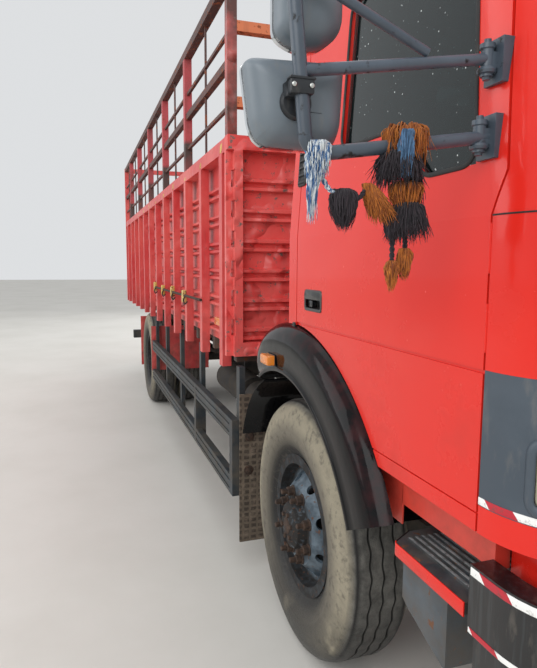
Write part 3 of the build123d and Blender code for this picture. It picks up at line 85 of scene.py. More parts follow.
class TruckColours(bpy.types.PropertyGroup):
    """Colours of the main finishes."""

    cab_red: tint("Cab red", "Glossy enamel of the cab and the doors", "#DC261B")
    body_red: tint("Body red", "Dull brushed paint of the cargo body", "#CA4444")
    fender_black: tint("Fender black", "Glossy moulding over the front wheels", "#0D0D0F")
    band_grey: tint("Band grey", "Weathered moulding round the lamps", "#404A54")
    mirror_grey: tint("Mirror grey", "Grained shells of the mirrors", "#6A747C")
    sidewall_dust: tint("Sidewall dust", "Dried clay on the tyre walls", "#968E7B")
    yarn_orange: tint("Orange yarn", "Burnt orange wool of the tassels", "#C4752A")
    yarn_black: tint("Black yarn", "Black wool of the tassels", "#1A181D")
    yarn_blue: tint("Blue yarn", "Faded blue wool of the tassels", "#3A6494")


class TruckSizes(bpy.types.PropertyGroup):
    """Lens and height of the camera."""

    lens: bpy.props.FloatProperty(
        name="Lens", description="Focal length on a 36 mm sensor, in millimetres",
        min=10, max=200, default=30.95)
    camera_height: bpy.props.FloatProperty(
        name="Camera height", description="Height of the lens over the floor",
        subtype="DISTANCE", unit="LENGTH", default=1.614)


# Materials. Colours are sRGB hex codes, and a layer is a colour and the amounts that it is laid on by.

MIX_AMOUNT, MIX_UNDER, MIX_OVER, MIX_RESULT = 0, 6, 7, 2
RANGE = ("Value", "From Min", "From Max", "To Min", "To Max")


def add(tree, kind, sockets=(), output=0, **settings):
    """Add one node with its settings, give its sockets values or links, and return one output."""
    node = tree.nodes.new("ShaderNode" + kind)
    for name, value in settings.items():
        setattr(node, name, value)
    for name, value in dict(sockets).items():
        if isinstance(value, bpy.types.NodeSocket):
            tree.links.new(value, node.inputs[name])
        else:
            node.inputs[name].default_value = linear(value) if isinstance(value, str) else value
    return node.outputs[output] if node.outputs else None


def finish(name, look, *values, **more):
    """Make a material whose surface a look gives, from the tree, object coordinates and values."""
    material = bpy.data.materials.new(name)
    material.use_nodes = True
    tree = material.node_tree
    tree.nodes.clear()
    at = add(tree, "TexCoord", output="Object")
    add(tree, "OutputMaterial", {"Surface": look(tree, at, *values, **more)})
    return material


def joined(tree, amounts, operation="MULTIPLY"):
    """One amount from several, taken in turn: their product, or what another operation makes of them."""
    total, *others = amounts
    for amount in others:
        total = add(tree, "Math", {0: total, 1: amount}, operation=operation)
    return total


def between(tree, value, *bounds):
    """Amounts of one value: each goes from 0 at a first bound to 1 at a second.

    Bounds of four numbers end in the amounts at the first and at the second.
    """
    return [add(tree, "MapRange", zip(RANGE, (value, *levels))) for levels in bounds]


def layered(tree, base, layers):
    """Colours laid over a base: each layer is a colour and its amounts, which are multiplied."""
    for colour, *amounts in layers:
        base = add(tree, "Mix", {MIX_AMOUNT: joined(tree, amounts), MIX_UNDER: base, MIX_OVER: colour},
                   MIX_RESULT, data_type="RGBA")
    return base


def surface(tree, colour, shine, dull=(), heights=(), **more):
    """Surface of a colour, with its roughness and its relief.

    shine is the roughness, or that of the clean and of the dull surface, which is dull by the
    largest of the dull amounts. heights holds each relief's height and depth in metres.
    """
    sockets = {"Base Color": colour, "Roughness": shine}
    if dull:
        sockets["Roughness"], = between(tree, joined(tree, dull, "MAXIMUM"), (0, 1, *shine))
    for height, depth in heights:
        below = {"Normal": sockets["Normal"]} if "Normal" in sockets else {}
        sockets["Normal"] = add(tree, "Bump", {"Height": height, "Distance": depth, "Strength": 1.0, **below})
    sockets.update({name.replace("_", " "): value for name, value in more.items()})
    return add(tree, "BsdfPrincipled", sockets)


def blotches(tree, at, grain, low, high, detail=6.0, stretch=None):
    """Amount from 0 to 1: cloudy noise of a grain in metres, cut between two levels."""
    if stretch:
        at = add(tree, "Mapping", {"Vector": at, "Scale": stretch})
    cloud = add(tree, "TexNoise", {"Vector": at, "Scale": 1 / grain, "Detail": detail, "Roughness": 0.62})
    return between(tree, cloud, (low, high))[0]


def specks(tree, at, spacing, radius):
    """Amount that is 1 inside small round dots, one in each cell of a given spacing in metres."""
    reach = add(tree, "TexVoronoi", {"Vector": at, "Scale": 1 / spacing}, "Distance")
    return between(tree, reach, (radius / spacing, 0.6 * radius / spacing))[0]


def low_amount(tree, at, low, high):
    """Amount that is 1 under a low height and falls to 0 at a high one."""
    return between(tree, add(tree, "SeparateXYZ", {"Vector": at}, "Z"), (high, low))[0]


def reach_from(tree, at, centre):
    """Distance from a line across the truck through a centre."""
    shifted = add(tree, "VectorMath", {0: at, 1: centre}, operation="SUBTRACT")
    flat = add(tree, "VectorMath", {0: shifted, 1: (1, 0, 1)}, operation="MULTIPLY")
    return add(tree, "VectorMath", {0: flat}, "Value", operation="LENGTH")


def paint(tree, at, colour, faded, dirt, rust, wear, shine, dirt_height=(0.2, 1.6), grain=0.003,
          second=None, dents=None):
    """Sprayed or brushed paint on steel that has faded, gathered dirt and begun to rust.

    wear holds three cuts of the noise: fading, dirt and rust; a higher cut means less of it.
    shine holds the roughness of clean and of dirty paint. second is a colour that takes over along
    an axis: the axis, where it starts, where it is full, and the colour. dents is how deep the
    knocks from loads go, in metres.
    """
    fading, soiling, rusting = wear
    low_dirt = joined(tree, (low_amount(tree, at, *dirt_height),
                             blotches(tree, at, 0.09, soiling - 0.14, soiling + 0.16)))
    runs = joined(tree, (blotches(tree, at, 0.05, soiling, soiling + 0.25, stretch=(1, 1, 0.12)),
                         blotches(tree, at, 0.8, 0.42, 0.7)))
    soil = joined(tree, (low_dirt, runs), "MAXIMUM")
    scabs = blotches(tree, at, 0.035, rusting, rusting + 0.07, detail=10)
    layers = [(faded, blotches(tree, at, 0.45, fading, fading + 0.22)), (dirt, soil), (rust, scabs)]
    if second:
        axis, start, full, other = second
        place = add(tree, "SeparateXYZ", {"Vector": at}, axis)
        layers.insert(0, (other, *between(tree, place, (start, full))))
    peel = add(tree, "TexNoise", {"Vector": at, "Scale": 1 / grain, "Detail": 1.0})
    heights = [(peel, grain * 0.035), (scabs, 0.0006)]
    if dents:
        heights.insert(0, (blotches(tree, at, 0.12, 0.50, 0.76, detail=1.0), dents))
    return surface(tree, layered(tree, colour, layers), shine, (soil, scabs), heights)


def cab_enamel(tree, at, colour):
    """Alkyd enamel sprayed over steel: a deep gloss with orange peel and dried rain spots, and painted shade
    inside.

    Inside is what lies more than about 6 mm deeper than the skin, behind the raked nose and under the roof:
    the walls of the door gaps and the cab's inside, which get a near black as painted shade. The skin's
    distance from the middle falls from the belt to the roof, as the cab leans in. Dust dulls the roof.
    """
    x, y, z = add(tree, "SeparateXYZ", {"Vector": at}).node.outputs
    skin, slack, lean, under, roof = between(
        tree, z, (BELT_Z, ROOF_Z, CAB_HALF, CAB_HALF - ROOF_IN), (BELT_Z, BELT_Z + 0.06, 0.0, 0.014),
        (BELT_Z, ROOF_Z, 0.0, RAKE * (ROOF_Z - BELT_Z) + 0.02), (ROOF_Z - 0.004, ROOF_Z - 0.010),
        (ROOF_Z - 0.030, ROOF_Z - 0.002))
    side = add(tree, "Math", {0: y}, operation="ABSOLUTE")
    depth = joined(tree, (skin, side, slack), "SUBTRACT")
    painted_shade_inside = joined(tree, (
        *between(tree, joined(tree, (x, lean), "ADD"), (CORNER_START_X + 0.0006, CORNER_START_X + 0.0002)),
        *between(tree, x, (CAB_REAR_X + 0.002, CAB_REAR_X + 0.006)),
        under, *between(tree, depth, (0.0055, 0.0070))))
    dust = joined(tree, (blotches(tree, at, 0.22, 0.5, 0.85), low_amount(tree, at, 0.9, 1.7)))
    spots = joined(tree, (specks(tree, at, 0.045, 0.0030), blotches(tree, at, 0.5, 0.52, 0.62)))
    roof = joined(tree, (roof, *between(tree, blotches(tree, at, 0.3, 0.3, 0.7), (0, 1, 0.7, 1.0))))
    gloss, = between(tree, roof, (0, 1, 0.25, 0.0))
    # The near black #1D1314 layer is painted shade, laid on the door gaps' walls and the cab's inside.
    base = layered(tree, colour, [
        ("#E0362A", blotches(tree, at, 0.7, 0.42, 0.75)), ("#A8382C", dust, 0.7), ("#F07A6C", spots, 0.6),
        ("#1D1314", painted_shade_inside), ("#B04036", roof, 0.6)])
    sag = add(tree, "TexNoise", {"Vector": at, "Scale": 2.2, "Detail": 2.0})
    peel = add(tree, "TexNoise", {"Vector": at, "Scale": 160.0, "Detail": 1.0})
    return surface(tree, base, (0.26, 0.7), (dust, spots, painted_shade_inside, roof), [(sag, 0.006), (peel, 0.00012)],
                   Specular_IOR_Level=0.3, Coat_Weight=gloss, Coat_Roughness=0.05)


def tyre_rubber(tree, at, axle, dust, wet):
    """Vulcanised rubber: dried clay on the upper wall, a black bead, scuffed tread and a damp foot."""
    radius = reach_from(tree, at, (axle, 0.0, TYRE_R))
    wall, clay, tread, groove_top, groove_foot = between(
        tree, radius, (0.315, 0.375), (0.395, 0.450), (TYRE_R - 0.030, TYRE_R - 0.010),
        (TYRE_R - 0.002, TYRE_R - 0.007), (TYRE_R - 0.012, TYRE_R - 0.008))
    cover, = between(tree, blotches(tree, at, 0.05, 0.28, 0.52, detail=8), (0, 1, 0.45, 0.9))
    scuffed = layered(tree, "#3E3D3A", [("#6C6A65", blotches(tree, at, 0.05, 0.35, 0.7, detail=9))])
    damp = joined(tree, (low_amount(tree, at, 0.10, 0.48), blotches(tree, at, 0.14, 0.28, 0.46), wet))
    stains = blotches(tree, at, 0.03, 0.52, 0.66, detail=9)
    base = layered(tree, "#201F1E", [
        ("#6E685C", wall), (dust, clay, cover), ("#4A453E", stains, 0.6), (scuffed, tread),
        ("#1C1B1A", groove_top, groove_foot), ("#1B1A19", damp)])
    edges = add(tree, "TexVoronoi", {"Vector": at, "Scale": 70.0}, "Distance", feature="DISTANCE_TO_EDGE")
    crumbs = add(tree, "TexNoise", {"Vector": at, "Scale": 420.0, "Detail": 3.0})
    heights = [(crumbs, 0.0005), (*between(tree, edges, (0.0, 0.09)), 0.0007)]
    return surface(tree, base, (0.82, 0.34), (damp,), heights)


def wheel_enamel(tree, at, axle):
    """Blue grey enamel on pressed steel, black with grease and brake dust in the rim's gutter."""
    radius = reach_from(tree, at, (axle, 0.0, TYRE_R))
    gutter, hub = between(tree, radius, (0.212, 0.236), (0.160, 0.120))
    grime = joined(tree, (gutter, *between(tree, blotches(tree, at, 0.03, 0.35, 0.6), (0, 1, 0.8, 1.0))))
    grease = joined(tree, (hub, blotches(tree, at, 0.03, 0.26, 0.46)))
    scabs = blotches(tree, at, 0.018, 0.60, 0.66, detail=10)
    base = layered(tree, "#3A4751", [
        ("#65737E", blotches(tree, at, 0.05, 0.40, 0.66, detail=9)), ("#1E1C1B", grime),
        ("#22201F", grease), ("#5E3E2A", scabs)])
    return surface(tree, base, (0.38, 0.75), (grime, grease, scabs), [(scabs, 0.0008)],
                   Specular_IOR_Level=0.35)


def moulding(tree, at, colour, faded, roughness, grain=0.0012, coat=0.0, drips=None):
    """Injection moulded plastic with a fine grain, chalky where the sun has faded it.

    drips is the colour of the dried runs that water has left down its face.
    """
    chalk = blotches(tree, at, 0.3, 0.45, 0.8)
    dust = blotches(tree, at, 0.03, 0.55, 0.8, stretch=(1, 1, 0.3))
    layers = [(faded, chalk), ("#8C8377", dust, 0.35)]
    if drips:
        layers.append((drips, blotches(tree, at, 0.012, 0.54, 0.60, 2.0, stretch=(1, 1, 0.05))))
    speckle = add(tree, "TexNoise", {"Vector": at, "Scale": 1 / grain, "Detail": 2.0})
    return surface(tree, layered(tree, colour, layers), (roughness, min(1.0, roughness + 0.22)),
                   (chalk, dust), [(speckle, grain * 0.08)], Coat_Weight=coat, Coat_Roughness=0.08)


def knobbed_rubber(tree, at):
    """Mud flap cut from old conveyor rubber: rows of flat knobs, with dried clay between them."""
    knobs = []
    for axis, scale, bend, cut in (("Z", 10.0, 1.2, (0.30, 0.55)), ("Y", 8.0, 0.8, (0.20, 0.40))):
        wave = {"Vector": at, "Scale": scale, "Distortion": bend, "Detail Scale": 3.0}
        wave = add(tree, "TexWave", wave, "Fac", wave_type="BANDS", bands_direction=axis)
        knobs += between(tree, wave, cut)
    knobs = joined(tree, knobs)
    base = layered(tree, "#5E5347", [
        ("#40372F", knobs), ("#7A6C5E", blotches(tree, at, 0.05, 0.48, 0.72, detail=9))])
    return surface(tree, base, 0.88, heights=[(knobs, 0.0025)])


def fender_plastic(tree, at, colour, overspray):
    """Glossy black moulding with red overspray near the cab and grey road film low down."""
    seam, = between(tree, reach_from(tree, at, ARCH), (0.79, 0.865))
    mist = joined(tree, (seam, blotches(tree, at, 0.06, 0.42, 0.66, detail=9)))
    film = joined(tree, (low_amount(tree, at, 0.80, 1.0), blotches(tree, at, 0.05, 0.45, 0.75)))
    scuff = blotches(tree, at, 0.02, 0.60, 0.78, stretch=(1, 0.2, 1))
    base = layered(tree, colour, [(overspray, mist, 0.35), ("#1B1A1A", film)])
    ripple = add(tree, "TexNoise", {"Vector": at, "Scale": 9.0, "Detail": 2.0})
    return surface(tree, base, (0.07, 0.30), (mist, film, scuff), [(ripple, 0.002)],
                   Specular_IOR_Level=0.17)


def rusted_steel(tree, at, light, dark):
    """Bare hot rolled steel under an even coat of rust, with flaking scale."""
    base = layered(tree, dark, [
        (light, blotches(tree, at, 0.02, 0.35, 0.7, detail=10)),
        ("#2A2422", blotches(tree, at, 0.008, 0.58, 0.7))])
    scale = add(tree, "TexNoise", {"Vector": at, "Scale": 180.0, "Detail": 6.0})
    return surface(tree, base, 0.84, heights=[(scale, 0.0009)])


def window_glass(tree, at):
    """Tempered glass with a grey green tint and dried rain spots."""
    spots = joined(tree, (specks(tree, at, 0.019, 0.0024), blotches(tree, at, 0.10, 0.46, 0.58)))
    clear = surface(tree, "#465A5C", 0.03, IOR=1.45, Transmission_Weight=0.92, Specular_IOR_Level=0.35)
    return add(tree, "MixShader", {0: spots, 1: clear, 2: surface(tree, "#D7DEDD", 0.6)})


def lens_plastic(tree, at, colour, clearness):
    """Moulded polycarbonate lens, fluted on its face."""
    flutes = add(tree, "TexWave", {"Vector": at, "Scale": 52.083}, "Fac",
                 wave_type="BANDS", bands_direction="DIAGONAL")
    return surface(tree, colour, 0.12, heights=[(flutes, 0.0012)], IOR=1.58,
                   Transmission_Weight=clearness, Coat_Weight=0.6, Coat_Roughness=0.05)


def bare_metal(tree, at, colour, grain, cut, shine):
    """Silvered glass or zinc plated steel: bright metal, dulled by a trace of dust or by fine satin."""
    return surface(tree, colour, shine, (blotches(tree, at, grain, *cut),), Metallic=1.0)


def marker_tape(tree, at):
    """Glass bead reflective tape: slanted red and white fields, 80 mm each, under a clear film."""
    slant = joined(tree, add(tree, "SeparateXYZ", {"Vector": at}).node.outputs, "ADD")
    red = joined(tree, (joined(tree, (slant, 0.16), "FLOORED_MODULO"), 0.08), "LESS_THAN")
    grime = blotches(tree, at, 0.012, 0.55, 0.75, detail=8)
    base = layered(tree, "#EDEDEA", [("#B8142A", red), ("#4B4641", grime, 0.8)])
    return surface(tree, base, (0.28, 0.7), (grime,), Coat_Weight=0.3)


def yarn(tree, at, colour, shade, cut=(0.38, 0.64)):
    """Spun wool: soft fuzzy strands whose colour drifts from one to the next."""
    drift = blotches(tree, at, 0.0035, *cut, detail=3, stretch=(1, 1, 0.12))
    base = layered(tree, colour, [(shade, drift)])
    fuzz = add(tree, "TexNoise", {"Vector": at, "Scale": 1800.0, "Detail": 2.0})
    return surface(tree, base, 0.95, heights=[(fuzz, 0.0004)], Sheen_Weight=0.1)


def woven_cloth(tree, at, colour, fleck):
    """Plain woven seat cloth: threads 3.5 mm apart, over and under, with light flecks."""
    scaled = add(tree, "Mapping", {"Vector": at, "Scale": (1 / 0.0035,) * 3})
    weave = add(tree, "TexChecker", {"Vector": scaled, "Scale": 1.0}, "Fac")
    fuzz = add(tree, "TexNoise", {"Vector": at, "Scale": 260.0, "Detail": 4.0})
    return surface(tree, layered(tree, colour, [(fleck, weave, fuzz)]), 0.95,
                   heights=[(weave, 0.0006), (fuzz, 0.0008)], Sheen_Weight=0.4)


def studio_floor(tree, at):
    """Seamless paper: a pale matt surface with a soft fall of tone."""
    return surface(tree, layered(tree, "#D4D1CB", [("#CBC8C1", blotches(tree, at, 1.5, 0.4, 0.7))]), 0.75)


FINISHES = {}


def make_finishes(colours):
    """Build every finish once, by the name that the pieces ask for."""
    own = {name: (*getattr(colours, name), 1) for name in colours.__annotations__}
    FINISHES.update({
        "cab": finish("cab_alkyd_enamel", cab_enamel, own["cab_red"]),
        # Enamel brushed over pressed sheets: dull, pink where it has faded, with runs of dirt and rust
        "body": finish("body_brushed_enamel", paint, own["body_red"], "#D65E58", "#5E4740", "#7A4128",
                       (0.4, 0.58, 0.66), (0.42, 0.85), dents=0.006),
        # The same enamel scraped by loads: deep dents, grey scabs, and a cap worn down to brown. Its red and
        # faded pink are lighter than the body's as painted light, brightening its forward face.
        "headboard": finish("headboard_scraped_lightened_enamel", paint, "#DB4F4C", "#E06E68", "#5E4740", "#6F6660",
                            (0.4, 0.56, 0.595), (0.42, 0.85),
                            second=("Z", 2.262, 2.268, "#5A3A34"), dents=0.024),
        # Ochre marking paint daubed on by hand, worn through in patches
        "dab": finish("marking_worn_paint", paint, "#C9A94E", "#D8C27A", "#6A5A40", "#7A4A2B",
                      (0.4, 0.5, 0.52), (0.5, 0.85)),
        # Brushed enamel under the cab: an even red, duller than the sprayed doors
        "sill": finish("sill_brushed_enamel", paint, "#CC3A2E", "#D2483A", "#6A3A30", "#7A4128",
                       (0.4, 0.6, 0.68), (0.36, 0.8)),
        # Enamel on the rack's rails, worn to brown, and bare orange primer on the bars at the front
        "rack": finish("rack_worn_enamel", paint, "#4A302B", "#5E3A34", "#3E322D", "#8A4B2B",
                       (0.45, 0.5, 0.56), (0.55, 0.9),
                       second=("X", FRONT_AXLE - 0.790, FRONT_AXLE - 0.775, "#D07A50")),
        # The rack's posts: brown and scuffed low down, repainted red near the top
        "rack_posts": finish("rack_post_enamel", paint, "#4A3A36", "#8A4444", "#4A3B35", "#8A4B2B",
                             (0.5, 0.5, 0.6), (0.55, 0.9), second=("Z", 2.44, 2.47, "#B5474C")),
        # Black paint brushed over mill scale: matt, dusty low down, with a few brown scabs
        "chassis": finish("chassis_black_paint", paint, "#1E1E20", "#2B2A2A", "#5C5348", "#5B3A28",
                          (0.5, 0.5, 0.68), (0.55, 0.9)),
        # Blue grey paint rolled on the guards: a little sheen left, spattered from the wheels
        "guard": finish("guard_blue_grey_paint", paint, "#1F262B", "#313B42", "#564E43", "#6A4632",
                        (0.42, 0.54, 0.68), (0.5, 0.88)),
        # Grey paint that boots have scraped, with a black coat on the step's top
        "step": finish("step_scraped_paint", paint, "#3C444A", "#596168", "#5F5448", "#6E4A34",
                       (0.42, 0.52, 0.60), (0.45, 0.85), second=("Z", 0.853, 0.857, "#1A1A1B")),
        # Rolled floor plate, polished brown by what slides over it
        "steel_floor": finish("load_floor_steel", paint, "#5A4A42", "#6E5A50", "#4C4038", "#7A4A30",
                              (0.45, 0.5, 0.55), (0.5, 0.8)),
        # Grey lacquer sprayed on steel tube: smooth satin with small dark chips
        "arm": finish("arm_grey_lacquer", paint, "#3E4751", "#525D69", "#222326", "#17181A",
                      (0.45, 0.48, 0.60), (0.34, 0.6), dirt_height=(0.0, 0.1), grain=0.0015),
        "front_wheel": finish("front_wheel_enamel", wheel_enamel, FRONT_AXLE),
        "rear_wheel": finish("rear_wheel_enamel", wheel_enamel, REAR_AXLE),
        "front_rubber": finish("front_tyre_rubber", tyre_rubber, FRONT_AXLE, own["sidewall_dust"], 0.95),
        "rear_rubber": finish("rear_tyre_rubber", tyre_rubber, REAR_AXLE, own["sidewall_dust"], 0.7),
        "fender": finish("fender_gloss_moulding", fender_plastic, own["fender_black"], "#5A1F22"),
        "flap": finish("flap_clay_rubber", knobbed_rubber),
        # Stoved enamel on a pressed plate: an even pale satin
        "plate": finish("blank_plate_enamel", moulding, "#D9D6C8", "#C9C4B2", 0.35),
        # Injection moulded plastics, from weathered grey to glossy or grained black, and cut rubber
        "band": finish("band_grey_moulding", moulding, own["band_grey"], "#525C66", 0.42),
        "mirror": finish("mirror_grained_moulding", moulding, own["mirror_grey"], "#7E8890", 0.38),
        "bumper": finish("bumper_black_moulding", moulding, "#101113", "#1E1F21", 0.28,
                         coat=0.3, drips="#25282A"),
        "trim": finish("cabin_dark_moulding", moulding, "#232427", "#34363A", 0.55),
        "clamp": finish("clamp_black_moulding", moulding, "#1F2226", "#33373C", 0.4),
        "grained": finish("trim_grained_moulding", moulding, "#1A1A1C", "#2E2C2B", 0.5, grain=0.003),
        "rubber": finish("window_epdm_rubber", moulding, "#141415", "#232222", 0.6),
        "cream": finish("lamp_ring_moulding", moulding, "#B9B39C", "#A29A80", 0.4),
        # Bare metals: brown rust, orange exhaust scale, oily grey castings and strips scraped bright
        "rust": finish("rusted_steel", rusted_steel, "#4E3A2D", "#2A201B"),
        "exhaust": finish("exhaust_scale", rusted_steel, "#7A5238", "#4A3226"),
        "cast": finish("oily_cast_iron", rusted_steel, "#4A4743", "#2B2A29"),
        "scraped": finish("shoe_scraped_steel", rusted_steel, "#9A9C9C", "#5C5F61"),
        "glass": finish("tinted_tempered_glass", window_glass),
        # Silvered float glass with a trace of dust, and bright zinc with a fine satin
        "mirror_glass": finish("silvered_glass", bare_metal, "#D8DDE0", 0.04, (0.4, 0.8), (0.02, 0.14)),
        "bright": finish("zinc_plated_steel", bare_metal, "#C4C6C2", 0.004, (0.3, 0.7), (0.22, 0.45)),
        "tape": finish("reflective_tape", marker_tape),
        # Dyed wool spun into loose yarn: matt and fuzzy, darker or paler from strand to strand
        "orange_yarn": finish("orange_wool_yarn", yarn, own["yarn_orange"], "#74391A"),
        "black_yarn": finish("black_wool_yarn", yarn, own["yarn_black"], "#3A3138"),
        "blue_yarn": finish("blue_wool_yarn", yarn, own["yarn_blue"], "#D5DBDC", (0.47, 0.54)),
        "faded_yarn": finish("faded_wool_yarn", yarn, "#5C82A6", "#34506E", (0.42, 0.58)),
        # Moulded lenses: deep colour, or almost clear, with fine flutes that catch the light
        "red_lens": finish("red_lamp_lens", lens_plastic, "#B0140F", 0.2),
        "clear_lens": finish("clear_lamp_lens", lens_plastic, "#DADDDB", 0.45),
        "amber_lens": finish("amber_lamp_lens", lens_plastic, "#F2880C", 0.15),
        "cloth": finish("seat_woven_cloth", woven_cloth, "#2A2B30", "#50525A"),
    })


NODE_FINISHES = {
    "cab": ("door_right", "door_left", "cab_frame", "cab_roof", "cab_back_wall", "cab_front",
            "front_valance"),
    "sill": ("cab_floor",),
    "body": ("side_panels", "side_posts", "rear_frame", "rear_mudguards",
             "cargo_door_right", "cargo_door_left"),
    "headboard": ("headboard",),
    "rack": ("rack_rails",),
    "rack_posts": ("rack_posts",),
    "chassis": ("frame_rails", "frame_crossmembers", "axles", "leaf_springs", "fuel_tank",
                "air_tanks", "knuckle_right", "knuckle_left", "track_rod"),
    "step": ("entry_steps",),
    "guard": ("guard_rails",),
    "front_wheel": ("front_wheel_right", "front_wheel_left"),
    "rear_wheel": ("rear_wheels_right", "rear_wheels_left"),
    "steel_floor": ("cargo_floor",),
    "band": ("front_band",),
    "bumper": ("front_bumper",),
    "fender": ("front_fenders",),
    "trim": ("dashboard", "steering_wheel"),
    "arm": ("mirror_arms_right", "mirror_arms_left"),
    "mirror": ("mirror_heads_right", "mirror_heads_left"),
    "flap": ("mud_flaps",),
    "exhaust": ("silencer",),
    "cast": ("engine_block", "driveline"),
    "glass": ("cab_glass", "door_glass_right", "door_glass_left"),
    "clear_lens": ("front_lamps",),
    "amber_lens": ("marker_lamps",),
    "cloth": ("seats", "tassels"),
    "front_rubber": ("front_tyre_right", "front_tyre_left"),
    "rear_rubber": ("rear_tyres_right", "rear_tyres_left"),
}


class TRUCK_OT_finishes(bpy.types.Operator):
    """Give every part of the frame its finish"""

    bl_idname = "truck.finishes"
    bl_label = "Finishes"

    def execute(self, context):
        make_finishes(context.scene.truck_colours)
        for finish_name, nodes in NODE_FINISHES.items():
            for node in nodes:
                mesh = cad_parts[node].data
                mesh.materials.clear()
                mesh.materials.append(FINISHES[finish_name])
        return {"FINISHED"}


# Faces of the cab

def door_face(z):
    """Distance from the middle to the door's outer face at a height: upright, then leaning in."""
    return CAB_HALF - ROOF_IN * np.clip((z - BELT_Z) / (ROOF_Z - BELT_Z), 0, 1)


def corner_face(x):
    """Distance from the middle to the cab's lower face at a place along it, round the corner."""
    into = np.clip(x - CORNER_START_X, 0, CORNER_R)
    return CAB_HALF - CORNER_R + np.sqrt(CORNER_R ** 2 - into ** 2)


def screen_face(z):
    """Place along the truck of the windscreen at a height, which leans back from the belt."""
    return CAB_NOSE_X - RAKE * (z - BELT_Z)


# Shapes. Each one gives points, four cornered faces and end caps, for piece() to gather.
# A plane names the two axes that an outline is drawn on, and then the axis of its depth.

SIDE, FRONT, TOP = (0, 2, 1), (1, 2, 0), (0, 1, 2)


def woven(points, wrap_rows=False, wrap_cols=False, capped=False):
    """Faces over a table of points: four neighbours make one, and a wrapped side meets its first line."""
    rows, cols = points.shape[:2]
    row = np.arange(rows - (not wrap_rows))[:, None]
    col = np.arange(cols - (not wrap_cols))[None, :]
    beyond, beside = (row + 1) % rows, (col + 1) % cols
    corners = (row * cols + col, beyond * cols + col, beyond * cols + beside, row * cols + beside)
    faces = np.stack(np.broadcast_arrays(*corners), -1).reshape(-1, 4)
    ends = [np.arange(cols), np.arange((rows - 1) * cols, rows * cols)] if capped else []
    return points.reshape(-1, 3), faces, ends


def placed(plane, across, up, depth):
    """Points in space from places on a plane's two axes and along its depth."""
    points = np.empty((*np.broadcast(across, up, depth).shape, 3))
    for axis, values in zip(plane, (across, up, depth)):
        points[..., axis] = values
    return points


def rounded(corners, reach, steps=5, closed=True):
    """Outline, or open path, whose corners are cut by parabolas that start a reach away from each."""
    here = np.asarray(corners, float)
    reach = np.broadcast_to(reach, len(here))[:, None]
    before, after = np.roll(here, 1, 0) - here, np.roll(here, -1, 0) - here
    start = here + before / np.linalg.norm(before, axis=1)[:, None] * reach
    end = here + after / np.linalg.norm(after, axis=1)[:, None] * reach
    t = np.linspace(0, 1, steps)[None, :, None]
    curve = (1 - t) ** 2 * start[:, None] + 2 * t * (1 - t) * here[:, None] + t ** 2 * end[:, None]
    return np.concatenate(curve if closed else [here[:1], *curve[1:-1], here[-1:]])


def oblong(low, high, reach, steps=5):
    """Rounded rectangle between two corners."""
    return rounded([low, (high[0], low[1]), high, (low[0], high[1])], reach, steps)


def circle(centre, radius, sides=24):
    """Round outline, or a polygon when it has few sides."""
    turn = tau * np.arange(sides) / sides
    return np.stack([centre[0] + radius * np.cos(turn), centre[1] + radius * np.sin(turn)], 1)


def stacked(plane, outline, levels):
    """Shell made of one outline at several depths: each level has its inset, as a distance, and depth."""
    levels = np.asarray(levels, float)
    middle = (outline.max(0) + outline.min(0)) / 2
    half = (outline.max(0) - outline.min(0)) / 2
    share = 1 - levels[:, :1, None] / half[None, None, :]
    flat = middle + (outline - middle)[None] * share
    points = placed(plane, flat[..., 0], flat[..., 1], levels[:, 1:2])
    return woven(points, wrap_cols=True, capped=True)


def slab(plane, outline, near, far, edge):
    """Plate with an outline and softly rounded edges, from one depth to another."""
    run = np.sign(far - near) * edge
    return stacked(plane, outline, [
        (edge, near), (0.3 * edge, near + 0.3 * run), (0, near + run),
        (0, far - run), (0.3 * edge, far - 0.3 * run), (edge, far)])


def block(plane, low, high, reach, near, far, edge):
    """Slab whose outline is a rounded rectangle between two corners."""
    return slab(plane, oblong(low, high, reach), near, far, edge)


def swept(path, section, side, grow=None, closed=False):
    """Section of (across, beside) pairs carried along a path. Beside is the side direction."""
    path = np.asarray(path, float)
    ahead = np.roll(path, -1, 0) - np.roll(path, 1, 0) if closed else np.gradient(path, axis=0)
    ahead /= np.linalg.norm(ahead, axis=1)[:, None]
    across = np.cross(ahead, np.asarray(side, float))
    across /= np.linalg.norm(across, axis=1)[:, None]
    beside = np.cross(across, ahead)
    scale = np.ones(len(path)) if grow is None else np.asarray(grow, float)
    points = (path[:, None] + scale[:, None, None] * (
        section[None, :, 0, None] * across[:, None] + section[None, :, 1, None] * beside[:, None]))
    return woven(points, wrap_rows=closed, wrap_cols=True, capped=not closed)


def revolved(plane, centre, profile, steps, start=0.0, turn=tau, ring=False):
    """Profile of (radius, depth) pairs turned about the plane's depth axis through a centre.

    A ring's profile is a closed line of its own. Otherwise its ends lie on the axis.
    """
    radius, depth = np.asarray(profile, float).T
    whole = turn >= tau
    angle = start + turn * np.linspace(0, 1, steps, endpoint=not whole)[:, None]
    points = placed(plane, radius * np.cos(angle), radius * np.sin(angle), depth) + centre
    return woven(points, wrap_rows=whole, wrap_cols=ring, capped=not whole)


def bead(plane, outline, lift, width, proud, sides=8):
    """Rim laid round an outline on a face: an oval section carried round it at a lift."""
    path = placed(plane, outline[:, 0], outline[:, 1], lift)
    return swept(path, circle((0, 0), 1, sides) * (width, proud), np.eye(3)[plane[2]], closed=True)


def mirrored(shape):
    """The same shape on the other side of the truck."""
    points, faces, ends = shape
    return points * (1, -1, 1), faces, ends


